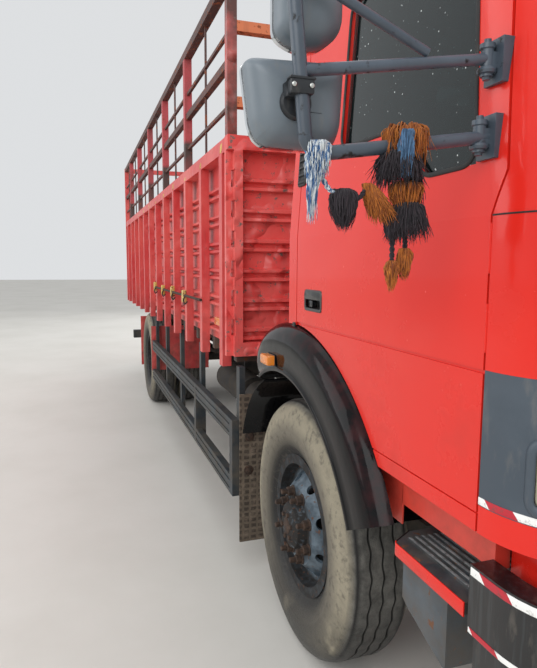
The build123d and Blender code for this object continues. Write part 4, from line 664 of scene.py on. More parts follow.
def piece(name, body, finish_name, shapes, replaces=(), crease=35.0):
    """One object from shapes: joined, faced outwards, smooth up to a crease angle, and given its body."""
    points, faces, start = [], [], 0
    for shape_points, shape_faces, ends in shapes:
        points.append(shape_points)
        faces += (shape_faces + start).tolist() + [(end + start).tolist() for end in ends]
        start += len(shape_points)
    mesh = bpy.data.meshes.new(name)
    mesh.from_pydata(np.concatenate(points).tolist(), [], faces)
    solid = bmesh.new()
    solid.from_mesh(mesh)
    bmesh.ops.remove_doubles(solid, verts=solid.verts, dist=1e-6)
    bmesh.ops.dissolve_degenerate(solid, edges=solid.edges, dist=1e-7)
    bmesh.ops.recalc_face_normals(solid, faces=solid.faces)
    solid.to_mesh(mesh)
    solid.free()
    mesh.shade_smooth()
    mesh.set_sharp_from_angle(angle=radians(crease))
    mesh.materials.append(FINISHES[finish_name])
    made = bpy.data.objects.new(name, mesh)
    bpy.context.scene.collection.objects.link(made)
    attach(made, body)
    if replaces:
        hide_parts(*replaces)
    return made


# Wheels

TREAD_GROOVES = (-0.048, 0.0, 0.048)
GROOVE_HALF, GROOVE_FLOOR, GROOVE_DEPTH = 0.0050, 0.0032, 0.009
WAVES_ROUND, WAVE_REACH = 36, 0.0042
WALL_PROFILE = (
    # radius, offset from the middle of the tread, from the bead to the crown's edge
    (0.262, 0.0955), (0.275, 0.0982), (0.298, 0.0988), (0.310, 0.108), (0.330, 0.121),
    (0.360, 0.1325), (0.385, 0.137), (0.410, 0.139), (0.435, 0.1375), (0.460, 0.1335),
    (0.485, 0.126), (0.503, 0.116), (0.514, 0.105), (0.520, 0.094), (0.5246, 0.082), (0.527, 0.069),
)
RIB_START, RIB_END, RIB_PITCH, RIB_HEIGHT = 0.462, 0.507, 0.0075, 0.0009
WALL_RINGS = ((0.334, 0.004, 0.0025), (0.382, 0.003, 0.0018))
NUT_CIRCLE_R, NUT_R, NUT_HEIGHT, STUD_R, STUD_REACH = 0.1375, 0.0195, 0.030, 0.0110, 0.026
HUB_COVER_FACE, HUB_BOLT_CIRCLE_R, HUB_BOLT_R = 0.162, 0.052, 0.0095
HUB_RING = ((0.0, 0.004), (0.028, 0.004), (0.034, 0.001), (0.036, -0.004), (0.0, -0.004))


def wall_curve(steps):
    """Radius and offset of one wall, resampled evenly.

    Ribs rise by the shoulder as height * (1 - cos(turn)), and each ring as a bell: radius, width, height.
    """
    known = np.array(WALL_PROFILE)
    length = np.concatenate([[0], np.cumsum(np.linalg.norm(np.diff(known, axis=0), axis=1))])
    at = np.linspace(0, length[-1], steps)
    radius, offset = np.interp(at, length, known[:, 0]), np.interp(at, length, known[:, 1])
    ribbed = (radius > RIB_START) & (radius < RIB_END)
    offset += RIB_HEIGHT * (1 - np.cos(tau * (radius - RIB_START) / RIB_PITCH)) * ribbed
    for place, width, height in WALL_RINGS:
        offset += height * np.exp(-((radius - place) / width) ** 2)
    return radius, offset


def tyre_shape(x, y, around, wall_steps):
    """Tyre: the wall curve, the crown and its wavy grooves, mirrored and turned about the axle."""
    radius, offset = wall_curve(wall_steps)
    crown_r, crown_y = [], []
    for groove in TREAD_GROOVES:
        crown_y += [groove - GROOVE_HALF, groove - GROOVE_FLOOR, groove + GROOVE_FLOOR, groove + GROOVE_HALF]
        crown_r += [TYRE_R, TYRE_R - GROOVE_DEPTH, TYRE_R - GROOVE_DEPTH, TYRE_R]
    profile_r = np.concatenate([radius, crown_r, radius[::-1]])
    profile_y = np.concatenate([-offset, crown_y, offset[::-1]])
    turn = tau * np.arange(around)[:, None] / around
    wave = WAVE_REACH * (2 / pi) * np.arcsin(np.sin(WAVES_ROUND * turn))
    swing = np.clip((0.098 - np.abs(profile_y)) / 0.03, 0, 1) * (profile_r > 0.5)
    points = placed(SIDE, x + profile_r * np.cos(turn), TYRE_R + profile_r * np.sin(turn),
                    y + profile_y + swing * wave)
    return woven(points, wrap_rows=True, wrap_cols=True)


def ring_of(x, radius, count, shift):
    """Centres of like parts on a circle about an axle."""
    turn = tau * (np.arange(count) + shift) / count
    return np.stack([x + radius * np.cos(turn), TYRE_R + radius * np.sin(turn)], 1)


def nut_shapes(x, face, out):
    """Eight studs with their nuts and washers on a circle, standing off a face towards the outside."""
    shapes = []
    top = face + out * NUT_HEIGHT
    for centre in ring_of(x, NUT_CIRCLE_R, 8, 0.5):
        shapes.append(stacked(SIDE, circle(centre, NUT_R * 1.25), [
            (0, face - out * 0.001), (0, face + out * 0.004), (0.002, face + out * 0.005)]))
        shapes.append(stacked(SIDE, circle(centre, NUT_R, 6), [
            (0, face), (0, top - out * 0.003), (0.003, top)]))
        shapes.append(stacked(SIDE, circle(centre, STUD_R, 12), [
            (0, top - out * 0.002), (0, top + out * (STUD_REACH - 0.003)), (0.003, top + out * STUD_REACH)]))
    return shapes


def hub_shapes(x, face, out):
    """Six bolts on the hub's cover and the raised ring in its middle."""
    shapes = [slab(SIDE, circle(centre, HUB_BOLT_R, 6), face - out * 0.012, face + out * 0.007, 0.0015)
              for centre in ring_of(x, HUB_BOLT_CIRCLE_R, 6, 0.25)]
    shapes.append(revolved(SIDE, (x, face, TYRE_R), np.array(HUB_RING) * (1, out), 32))
    return shapes


class TRUCK_OT_wheels(bpy.types.Operator):
    """Tyres with wavy grooves, and the wheels' studs and nuts"""

    bl_idname = "truck.wheels"
    bl_label = "Wheels"

    def execute(self, context):
        for out, side in SIDE_NAMES.items():
            front, rear = f"front_wheel_set_{side}", f"rear_wheel_set_{side}"
            low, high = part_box(f"front_tyre_{side}")
            middle = (low.y + high.y) / 2
            piece(f"front_tyre_grooved_{side}", front, "front_rubber",
                  [tyre_shape(FRONT_AXLE, middle, 360, 46)], [f"front_tyre_{side}"])
            low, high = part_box(f"rear_tyres_{side}")
            twins = [tyre_shape(REAR_AXLE, y, 216, 30) for y in (low.y + TYRE_W / 2, high.y - TYRE_W / 2)]
            piece(f"rear_tyres_grooved_{side}", rear, "rear_rubber",
                  twins, [f"rear_tyres_{side}"])
            rear_face = out * (abs(low.y + high.y) / 2 + REAR_DISC_FACE)
            for name, body, shapes in (
                    ("front_wheel_nuts", front, nut_shapes(FRONT_AXLE, middle + out * DISC_FACE, out)),
                    ("hub_bolts", front, hub_shapes(FRONT_AXLE, middle + out * HUB_COVER_FACE, out)),
                    ("rear_wheel_nuts", rear, nut_shapes(REAR_AXLE, rear_face, out))):
                piece(f"{name}_{side}", body, "rust", shapes)
        return {"FINISHED"}


# Fenders

ARCH = (FRONT_AXLE + 0.100, 0.0, 0.530)
LINER = (FRONT_AXLE - 0.018, 0.0, TYRE_R)
FENDER_SKIN = 0.005
FENDER_TURN = (radians(27), radians(117))
LINER_TURN = (radians(111), radians(158))
FENDER_PROFILE = (
    # radius about the arch, offset from the cab's side, from the lip's inside to the cab's seam
    (0.665, -0.350), (0.665, 0.034), (0.667, 0.043), (0.673, 0.049), (0.682, 0.050), (0.688, 0.047),
    (0.691, 0.0455), (0.730, 0.0485), (0.765, 0.050), (0.790, 0.0488), (0.808, 0.0455),
    (0.824, 0.039), (0.838, 0.029), (0.849, 0.017), (0.857, 0.004), (0.862, -0.010),
)
FENDER_TAIL_START = radians(96)
FENDER_LAMP_Z = 1.240
TAIL_LAMP_Y, TAIL_LAMP_Z = 0.900, 1.140


def fender_shape():
    """Left fender: the profile and its offset back, turned about the arch.

    Towards the tail the radius draws in to the lip as a quarter oval, and so does what stands proud.
    """
    outer = np.array(FENDER_PROFILE)
    inner = outer[::-1] + (FENDER_SKIN * 0.3, -FENDER_SKIN)
    inner[0], inner[-1] = outer[-1] + (-FENDER_SKIN, 0), outer[0] + (FENDER_SKIN, 0)
    section = np.concatenate([outer, inner])
    angle = np.linspace(*FENDER_TURN, 90)[:, None]
    late = np.clip((angle - FENDER_TAIL_START) / (FENDER_TURN[1] - FENDER_TAIL_START), 0, 1)
    draw = 0.45 + 0.55 * np.sqrt(np.clip(1 - late ** 2.6, 0, 1))
    lip = outer[0, 0]
    radius = lip + (section[:, 0] - lip) * draw
    proud = np.where(section[:, 1] > 0, section[:, 1] * (0.55 + 0.45 * draw), section[:, 1])
    points = placed(SIDE, ARCH[0] + radius * np.cos(angle), ARCH[2] + radius * np.sin(angle),
                    CAB_HALF + proud)
    return woven(points, wrap_cols=True, capped=True)


class TRUCK_OT_fenders(bpy.types.Operator):
    """Glossy fenders, the liners behind them and their lamps"""

    bl_idname = "truck.fenders"
    bl_label = "Fenders"

    def execute(self, context):
        edge = CAB_HALF - 0.350
        liner = [(LINER_R, edge), (LINER_R, CAB_HALF), (LINER_R + 0.003, CAB_HALF + 0.003),
                 (LINER_R + 0.006, CAB_HALF), (LINER_R + 0.006, edge)]
        left = [fender_shape(),
                revolved(SIDE, LINER, liner, 40, LINER_TURN[0], LINER_TURN[1] - LINER_TURN[0], ring=True),
                block(SIDE, (FRONT_AXLE - 0.584, 0.800), (FRONT_AXLE - 0.558, 0.840), 0.004,
                      0.4303, edge + 0.03, 0.002)]
        piece("front_fenders_moulded", "truck", "fender", left + [mirrored(shape) for shape in left],
              ["front_fenders"], crease=60)

        lenses, bases, windows, housings = [], [], [], []
        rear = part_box("marker_lamps")[0].x
        for out in SIDE_NAMES:
            foot = out * (CAB_HALF + 0.0503)
            outline = oblong((FRONT_AXLE - 0.050, FENDER_LAMP_Z - 0.022),
                             (FRONT_AXLE + 0.050, FENDER_LAMP_Z + 0.022), 0.008)
            bases.append(slab(SIDE, outline, foot, foot + out * 0.003, 0.0008))
            lenses.append(stacked(SIDE, outline, [
                (0.002, foot + out * 0.002), (0.002, foot + out * 0.026), (0.004, foot + out * 0.0315),
                (0.010, foot + out * 0.034)]))
            middle = out * TAIL_LAMP_Y
            housings.append(block(
                FRONT, (middle - 0.150, TAIL_LAMP_Z - 0.050), (middle + 0.150, TAIL_LAMP_Z + 0.050), 0.012,
                rear + 0.040, rear + 0.012, 0.003))
            for start in middle + np.array((-0.142, -0.046, 0.050)):
                window = oblong((start, TAIL_LAMP_Z - 0.042), (start + 0.092, TAIL_LAMP_Z + 0.042), 0.008)
                windows.append(stacked(FRONT, window, [
                    (0, rear + 0.014), (0, rear + 0.004), (0.003, rear + 0.001), (0.012, rear)]))
        piece("fender_lamp_bases", "truck", "trim", bases)
        piece("fender_lamp_lenses", "truck", "amber_lens", lenses, ["marker_lamps"])
        piece("tail_lamp_housings", "truck", "trim", housings)
        piece("tail_lamp_lenses", "truck", "red_lens", windows)
        return {"FINISHED"}


# Mirrors

TUBE_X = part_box("mirror_arms_right")[1].x - 0.027
MIRROR_BACK_X, MIRROR_FRONT_X = TUBE_X - 0.100, TUBE_X - 0.030
LOW_HOUSING = (
    # offset from the cab's side, height
    (0.290, 1.868), (0.283, 1.997), (0.481, 1.990), (0.465, 1.866), (0.447, 1.838), (0.306, 1.834),
)
HIGH_HOUSING = (
    (0.289, 2.050), (0.281, 2.438), (0.419, 2.433), (0.418, 2.037), (0.376, 2.017), (0.326, 2.021),
)
SHELL_LEVELS = (
    # inset, place along the housing's depth from 0 at the glass to 1 at the crown
    (0.012, 0.08), (0.010, 0.0), (0.003, 0.0), (0.0, 0.04), (0.0, 0.30), (0.0015, 0.46), (0.005, 0.62),
    (0.012, 0.77), (0.022, 0.88), (0.036, 0.96), (0.052, 1.0),
)
CLAMPS = (
    # offset, height, size against the lower one
    (0.398, 1.924, 1.0), (0.422, 2.200, 0.9),
)
SCREW_PROFILE = ((0, 0.0145), (0.0042, 0.0145), (0.0042, 0.0172), (0.0028, 0.0182), (0, 0.0184))
PIN_PROFILE = (
    # radius, height over the middle of an upright pin
    (0, -0.036), (0.007, -0.036), (0.009, -0.026), (0.017, -0.024), (0.019, -0.019), (0.017, -0.014),
    (0.0125, -0.012), (0.0125, 0.020), (0.015, 0.022), (0.015, 0.031), (0.007, 0.033), (0.007, 0.040),
    (0, 0.041),
)
BRACKET_Z = (1.868, 2.012)
BRACKET_PIN_OUT = 0.028


def mirror_shapes(out):
    """Shells, glass and clamp parts of one side, as lists of shapes by finish."""
    deep = MIRROR_FRONT_X - MIRROR_BACK_X
    shells, glass, clamps, screws = [], [], [], []
    for corners in (LOW_HOUSING, HIGH_HOUSING):
        outline = rounded([(out * (CAB_HALF + offset), z) for offset, z in corners], 0.020, 7)
        levels = [(inset, MIRROR_BACK_X + deep * place) for inset, place in SHELL_LEVELS]
        shells.append(stacked(FRONT, outline, levels))
        glass.append(slab(FRONT, outline, MIRROR_BACK_X + 0.0005, MIRROR_BACK_X + 0.004, 0.0125))
    offset, z, _ = CLAMPS[0]
    clamps.append(revolved(FRONT, (MIRROR_FRONT_X, out * (CAB_HALF + offset - 0.003), z - 0.018), [
        (0, -0.010), (0.031, -0.010), (0.030, 0.004), (0.026, 0.010), (0, 0.012)], 32))
    for offset, z, grow in CLAMPS:
        middle, wide = out * (CAB_HALF + offset), 0.022 * grow
        clamps += [
            block(FRONT, (middle - wide, z - 0.014), (middle + wide, z + 0.014), 0.003,
                  MIRROR_FRONT_X, TUBE_X - 0.002, 0.001),
            block(FRONT, (middle - wide, z - 0.013), (middle + wide, z + 0.013), 0.004,
                  TUBE_X - 0.001, TUBE_X + 0.0155, 0.002),
            block(FRONT, (middle - wide - 0.002, z + 0.011), (middle + wide + 0.002, z + 0.0155), 0.002,
                  TUBE_X - 0.004, TUBE_X + 0.017, 0.001)]
        for off in (-0.0165, 0.0165):
            screws.append(revolved(FRONT, (TUBE_X, middle + off * grow, z + 0.001), SCREW_PROFILE, 16))
    return shells, glass, clamps, screws


def bracket_shapes(out):
    """Upright pins that hold the two arms in the forks on the door."""
    pins = [(TUBE_X, out * (door_face(z) + BRACKET_PIN_OUT), z) for z in BRACKET_Z]
    return [revolved(TOP, pin, PIN_PROFILE, 24) for pin in pins]


class TRUCK_OT_mirrors(bpy.types.Operator):
    """Domed mirror shells, their glass, clamps, screws and door brackets"""

    bl_idname = "truck.mirrors"
    bl_label = "Mirrors"

    def execute(self, context):
        for out, side in SIDE_NAMES.items():
            body = f"cab_door_{side}"
            shells, glass, clamps, screws = mirror_shapes(out)
            piece(f"mirror_shells_{side}", body, "mirror", shells, [f"mirror_heads_{side}"])
            piece(f"mirror_glasses_{side}", body, "mirror_glass", glass)
            piece(f"mirror_clamps_{side}", body, "clamp", clamps)
            piece(f"mirror_screws_{side}", body, "bright", screws)
            piece(f"mirror_brackets_{side}", body, "arm", bracket_shapes(out))
        return {"FINISHED"}


# Doors and side trim

DOOR_REAR_X = FRONT_AXLE + 0.150
WINDOW = (
    # place ahead of the front axle, height
    (0.470, 1.975), (0.820, 1.967), (0.950, 1.824), (1.142, 1.824), (1.0615, 2.420), (0.470, 2.420),
)
WINDOW_CORNERS = (0.05, 0.05, 0.04, 0.05, 0.06, 0.06)
HANDLE = ((FRONT_AXLE + 0.227, 1.455), (FRONT_AXLE + 0.379, 1.528))
VENT = ((CAB_REAR_X + 0.012, 1.907), (CAB_REAR_X + 0.076, 2.039))
SLATS = 5


def trim_shapes(out):
    """Rubber, surround and flap of one door side, as lists of shapes by finish."""
    outline = rounded([(FRONT_AXLE + x, z) for x, z in WINDOW], WINDOW_CORNERS, 8)
    rubber = [bead(SIDE, outline, out * (door_face(outline[:, 1]) + 0.001), 0.0055, 0.0035, 10)]
    (x0, z0), (x1, z1) = HANDLE
    face = out * CAB_HALF
    ring = oblong((x0 + 0.004, z0 + 0.004), (x1 - 0.004, z1 - 0.004), 0.014, 6)
    surround = [bead(SIDE, ring, face, 0.006, 0.003),
                block(SIDE, (x0 + 0.001, z0 + 0.001), (x1 - 0.001, z0 + 0.044), 0.006,
                      face - out * 0.0275, face - out * 0.0245, 0.001)]
    flap = [block(SIDE, (x0 + 0.006, z0 + 0.040), (x1 - 0.006, z1 - 0.003), 0.008,
                  face - out * 0.0035, face + out * 0.0025, 0.0015),
            block(SIDE, (x0 + 0.02, z0 + 0.012), (x0 + 0.055, z0 + 0.036), 0.004,
                  face - out * 0.022, face - out * 0.006, 0.002)]
    return rubber, surround, flap


def vent_shapes(out):
    """Frame, tilted slats and back plate on the cab's rear corner, and the block at the pillar's foot."""
    (x0, low), (x1, high) = VENT
    outline = oblong((x0, low), (x1, high), 0.008, 5)
    shapes = [bead(SIDE, outline, out * (door_face(outline[:, 1]) + 0.002), 0.006, 0.005)]
    for z in np.linspace(low + 0.014, high - 0.014, SLATS):
        face = out * float(door_face(z))
        blade = rounded([(face - out * 0.001, z + 0.008), (face + out * 0.009, z - 0.005),
                         (face + out * 0.009, z - 0.009), (face - out * 0.001, z + 0.002)], 0.001, 3)
        shapes.append(slab(FRONT, blade, x0 + 0.002, x1 - 0.002, 0.001))
    back = rounded([(out * (door_face(z) + lift), z) for z, lift in (
        (low, -0.001), (high, -0.001), (high, 0.002), (low, 0.002))], 0.0005, 3)
    shapes.append(slab(FRONT, back, x0 + 0.001, x1 - 0.001, 0.0004))
    shapes.append(block(SIDE, (CAB_REAR_X + 0.004, 1.290), (DOOR_REAR_X - 0.008, 1.400), 0.005,
                        out * (CAB_HALF - 0.001), out * (CAB_HALF + 0.007), 0.002))
    return shapes


class TRUCK_OT_door_trim(bpy.types.Operator):
    """Window rubbers, door handles, corner vents and pillar blocks"""

    bl_idname = "truck.door_trim"
    bl_label = "Door trim"

    def execute(self, context):
        vents = []
        for out, side in SIDE_NAMES.items():
            body = f"cab_door_{side}"
            rubber, surround, flap = trim_shapes(out)
            piece(f"window_rubber_{side}", body, "rubber", rubber)
            piece(f"handle_surround_{side}", body, "bumper", surround)
            piece(f"handle_flap_{side}", body, "bumper", flap)
            vents += vent_shapes(out)
        piece("corner_vents", "truck", "grained", vents)
        return {"FINISHED"}


# Seats

PADS = {
    # corners as place ahead of the front axle and height, then half the width
    "seat_cushion": (((0.346, 1.524), (0.806, 1.524), (0.806, 1.614), (0.346, 1.614)), 0.226),
    "seat_back": (((0.340, 1.646), (0.426, 1.646), (0.348, 2.216), (0.284, 2.216)), 0.221),
}
SEAT_Y = CAB_HALF - 0.490
PAD_CAP, PAD_VOXEL, PAD_PRESSURE, PAD_FRAMES = 0.022, 0.0085, 4.0, 20
CHANNELS, CHANNEL_DEPTH, CHANNEL_WIDTH = (-0.150, -0.050, 0.050, 0.150), 0.008, 0.009
CUSHION_FACE_Z, BACK_FOOT, BACK_LEAN = 1.590, (FRONT_AXLE + 0.426, 1.646), 0.137
PEDESTAL_LEVELS = (
    # inset, height
    (0.0, 1.251), (0.0, 1.262), (0.02, 1.270), (0.035, 1.40), (0.02, 1.46), (0.0, 1.480), (0.0, 1.498),
)


def places(mesh):
    """All points of a mesh as one table."""
    points = np.empty(len(mesh.vertices) * 3)
    mesh.vertices.foreach_get("co", points)
    return points.reshape(-1, 3)


def settle(pad):
    """Keep what a pad's modifiers have made of it, and take them off."""
    shaped = bpy.data.meshes.new_from_object(pad.evaluated_get(bpy.context.evaluated_depsgraph_get()))
    pad.modifiers.clear()
    pad.data = shaped


def stuff(pad, name):
    """Blow a pad up as cloth from inside, cap each move, and press the sewn channels into its face.

    Channel depth = depth * exp(-(distance / width)^2) on the side that faces the sitter.
    """
    voxels = pad.modifiers.new("voxels", "REMESH")
    voxels.mode, voxels.voxel_size = "VOXEL", PAD_VOXEL
    settle(pad)
    points = places(pad.data)
    cloth = pad.modifiers.new("filling", "CLOTH")
    cloth.settings.use_pressure = True
    cloth.settings.uniform_pressure_force = PAD_PRESSURE
    cloth.settings.effector_weights.gravity = 0.0
    for moment in range(1, PAD_FRAMES + 1):
        bpy.context.scene.frame_set(moment)
    settle(pad)
    bpy.context.scene.frame_set(1)
    move = places(pad.data) - points
    far = np.linalg.norm(move, axis=1, keepdims=True)
    points += move * np.minimum(1, PAD_CAP / np.maximum(far, 1e-9))
    across = points[:, 1:2] - SEAT_Y - np.array(CHANNELS)
    press = CHANNEL_DEPTH * np.exp(-(across / CHANNEL_WIDTH) ** 2).sum(1)
    if name == "seat_cushion":
        points[:, 2] -= press * np.clip((points[:, 2] - CUSHION_FACE_Z) / 0.02, 0, 1)
    else:
        front = BACK_FOOT[0] - (points[:, 2] - BACK_FOOT[1]) * BACK_LEAN
        points[:, 0] -= press * np.clip((points[:, 0] - front + 0.030) / 0.02, 0, 1)
    pad.data.vertices.foreach_set("co", points.ravel())
    pad.data.update()
    pad.data.shade_smooth()


class TRUCK_OT_seats(bpy.types.Operator):
    """Stuffed cushions and backs of both seats, on their pedestals"""

    bl_idname = "truck.seats"
    bl_label = "Seats"

    def execute(self, context):
        stands = []
        for y in (-SEAT_Y, SEAT_Y):
            foot = oblong((FRONT_AXLE + 0.400, y - 0.170), (FRONT_AXLE + 0.740, y + 0.170), 0.03)
            stands.append(stacked(TOP, foot, PEDESTAL_LEVELS))
            stands.append(block(TOP, (FRONT_AXLE + 0.336, y - 0.232), (FRONT_AXLE + 0.814, y + 0.232), 0.04,
                                1.492, 1.530, 0.006))
            shell = rounded([(FRONT_AXLE + 0.332, 1.60), (FRONT_AXLE + 0.350, 1.60),
                             (FRONT_AXLE + 0.296, 2.20), (FRONT_AXLE + 0.274, 2.20)], 0.006)
            stands.append(slab(SIDE, shell, y - 0.215, y + 0.215, 0.004))
        piece("seat_pedestals", "truck", "trim", stands, ["seats"])
        for name, (corners, half) in PADS.items():
            outline = rounded([(FRONT_AXLE + x, z) for x, z in corners], 0.030, 6)
            shape = stacked(SIDE, outline, [
                (0.016, SEAT_Y - half), (0.005, SEAT_Y - half + 0.010), (0.0, SEAT_Y - half + 0.026),
                (0.0, SEAT_Y + half - 0.026), (0.005, SEAT_Y + half - 0.010), (0.016, SEAT_Y + half)])
            left = piece(name + "_left", "truck", "cloth", [shape], ["seats"])
            stuff(left, name)
            mesh = left.data.copy()
            mesh.vertices.foreach_set("co", (places(mesh) * (1, -1, 1)).ravel())
            mesh.flip_normals()
            right = bpy.data.objects.new(name + "_right", mesh)
            context.scene.collection.objects.link(right)
            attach(right, "truck")
            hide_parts("seats")
            for pad in (left, right):
                smooth = pad.modifiers.new("smooth", "SUBSURF")
                smooth.levels = smooth.render_levels = 1
        return {"FINISHED"}


# Wipers, dashboard and steering wheel

WHEEL_CENTRE = np.array((FRONT_AXLE + 0.930, -SEAT_Y, 1.790))
COLUMN_FOOT = np.array((FRONT_AXLE + 1.110, -SEAT_Y, 1.262))
WHEEL_R, RIM_R, GRIPS = 0.217, 0.0135, 24
DASH_FACE_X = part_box("dashboard")[0].x + 0.036
WIPER_ROOT_Z = 1.765
BLADE_POINTS = (
    # across from the wiper's root, height
    (0.08, 1.872), (0.33, 1.898), (0.60, 1.880),
)
BOSS_PROFILE = ((0, -0.004), (0.022, -0.004), (0.022, 0.006), (0.014, 0.014), (0, 0.016))
DIAL_PROFILE = (
    # radius, depth behind the instrument hood's face
    (0.0, 0.006), (0.026, 0.006), (0.026, 0.001), (0.030, -0.002), (0.034, 0.001), (0.034, 0.014),
    (0.0, 0.014),
)
HOOD_LEVELS = (
    # inset, depth behind the face
    (0.018, 0.012), (0.010, 0.010), (0.004, 0.0), (0.0, 0.006), (0.002, 0.10), (0.012, 0.15),
)
VENT_PLACES, VENT_SLATS_Z = (-0.30, 0.0, 0.30, 0.78), (1.690, 1.702, 1.714)


def wiper_shapes(y):
    """Boss, bent arm and blade of a wiper whose root is at a place across the screen."""
    z = WIPER_ROOT_Z
    arm = rounded([(screen_face(z) + 0.016, y, z), (screen_face(1.800) + 0.028, y + 0.05, 1.800),
                   (screen_face(1.905) + 0.022, y + 0.330, 1.905)], 0.02, 6, closed=False)
    blade = rounded([(screen_face(high) + 0.006, y + across, high) for across, high in BLADE_POINTS],
                    0.12, 10, closed=False)
    return [revolved(FRONT, (screen_face(z), y, z), BOSS_PROFILE, 24),
            swept(arm, oblong((-0.003, -0.006), (0.003, 0.006), 0.002, 3), (1, 0, 0)),
            swept(blade, oblong((-0.005, -0.003), (0.010, 0.003), 0.001, 3), (1, 0, 0))]


def dash_shapes():
    """Instrument hood and the slats of the vents, which lean with the dashboard."""
    hood = rounded([(-SEAT_Y - 0.21, 1.735), (-SEAT_Y - 0.19, 1.800), (-SEAT_Y + 0.19, 1.800),
                    (-SEAT_Y + 0.21, 1.735)], (0.01, 0.05, 0.05, 0.01), 8)
    shapes = [stacked(FRONT, hood, [(inset, DASH_FACE_X + deep) for inset, deep in HOOD_LEVELS])]
    for y in VENT_PLACES:
        for z in VENT_SLATS_Z:
            lean = DASH_FACE_X - 0.030 + (z - 1.56) * 0.167
            shapes.append(block(FRONT, (y - 0.07, z - 0.004), (y + 0.07, z + 0.004), 0.003,
                                lean + 0.006, lean - 0.004, 0.001))
    return shapes


def steering_shapes():
    """Rim with finger grips, column, hub and two tapered spokes, all square to the column's axis."""
    axis = (WHEEL_CENTRE - COLUMN_FOOT) / np.linalg.norm(WHEEL_CENTRE - COLUMN_FOOT)
    level = np.array((0.0, 1.0, 0.0))
    turn = tau * np.arange(72)[:, None] / 72
    rim = WHEEL_CENTRE + WHEEL_R * (np.cos(turn) * level + np.sin(turn) * np.cross(axis, level))
    hub = [WHEEL_CENTRE + place * axis for place in (-0.024, -0.016, 0.006, 0.014)]
    shapes = [swept(rim, circle((0, 0), RIM_R, 12), axis, 1 + 0.06 * np.cos(GRIPS * turn[:, 0]), closed=True),
              swept([COLUMN_FOOT, WHEEL_CENTRE - 0.02 * axis], circle((0, 0), 0.028, 24), level),
              swept(hub, circle((0, 0), 0.058, 32), level, (0.8, 1.0, 1.0, 0.72))]
    for side in SIDE_NAMES:
        spoke = np.linspace(WHEEL_CENTRE - 0.004 * axis, WHEEL_CENTRE + side * 0.212 * level, 8)
        shapes.append(swept(spoke, oblong((-0.016, -0.006), (0.016, 0.006), 0.005, 4), axis,
                            np.linspace(1.2, 0.8, 8)))
    return shapes


class TRUCK_OT_cabin(bpy.types.Operator):
    """Wipers on the windscreen, the instrument hood with its dials and vents, and the steering wheel"""

    bl_idname = "truck.cabin"
    bl_label = "Wipers and cabin"

    def execute(self, context):
        piece("wipers", "truck", "rubber", wiper_shapes(-0.62) + wiper_shapes(0.05))
        piece("dash_trim", "truck", "grained", dash_shapes())
        dials = [revolved(FRONT, (DASH_FACE_X, -SEAT_Y + y, 1.762), DIAL_PROFILE, 28)
                 for y in (-0.10, 0.0, 0.10)]
        piece("dash_dials", "truck", "bright", dials)
        piece("steering_wheel_moulded", "truck", "trim", steering_shapes(), ["steering_wheel"])
        return {"FINISHED"}


# Front and steps

STEP_LOW, STEP_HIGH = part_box("entry_steps")
BUMPER_LOW, BUMPER_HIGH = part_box("front_bumper")
BAND_LOW, BAND_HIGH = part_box("front_band")
BUMPER_CORNER_R, TAPE_LIFT = 0.220, 0.0005
BUMPER_TAPES = ((0.962, 0.980), (0.832, 0.844))
CORNER_LAMP = (FRONT_AXLE + 1.370, 1.216)
GRILLE_HALF, GRILLE_Z = 0.660, (1.445, 1.655)
GRILLE_BARS_Z = (1.475, 1.525, 1.575, 1.625)
STEP_THICK, STEP_RIBS, STEP_RIB_PITCH = 0.034, 10, 0.020
SILL_IN = 0.056
SEAM_START_X, SEAM_HALF = FRONT_AXLE + 1.212, 0.0017


def nose_path(rear, nose, half, radius):
    """Path round the front: from the right rear end, round two quarter circles, to the left."""
    turn = np.linspace(0, pi / 2, 14)
    right = np.stack([nose - radius + radius * np.sin(turn), -half + radius - radius * np.cos(turn)], 1)
    left = right[::-1] * (1, -1)
    return np.concatenate([[(rear, -half)], right, left, [(rear, half)]])


def tape(z0, z1, rear, nose, half, radius):
    """Strip that stands half a millimetre off a wrapped face, between two heights."""
    flat = nose_path(rear, nose + TAPE_LIFT, half + TAPE_LIFT, radius)
    path = np.column_stack([flat, np.full(len(flat), (z0 + z1) / 2)])
    section = oblong((-0.0006, -(z1 - z0) / 2), (0.0006, (z1 - z0) / 2), 0.0003, 3)
    return swept(path, section, (0, 0, 1))


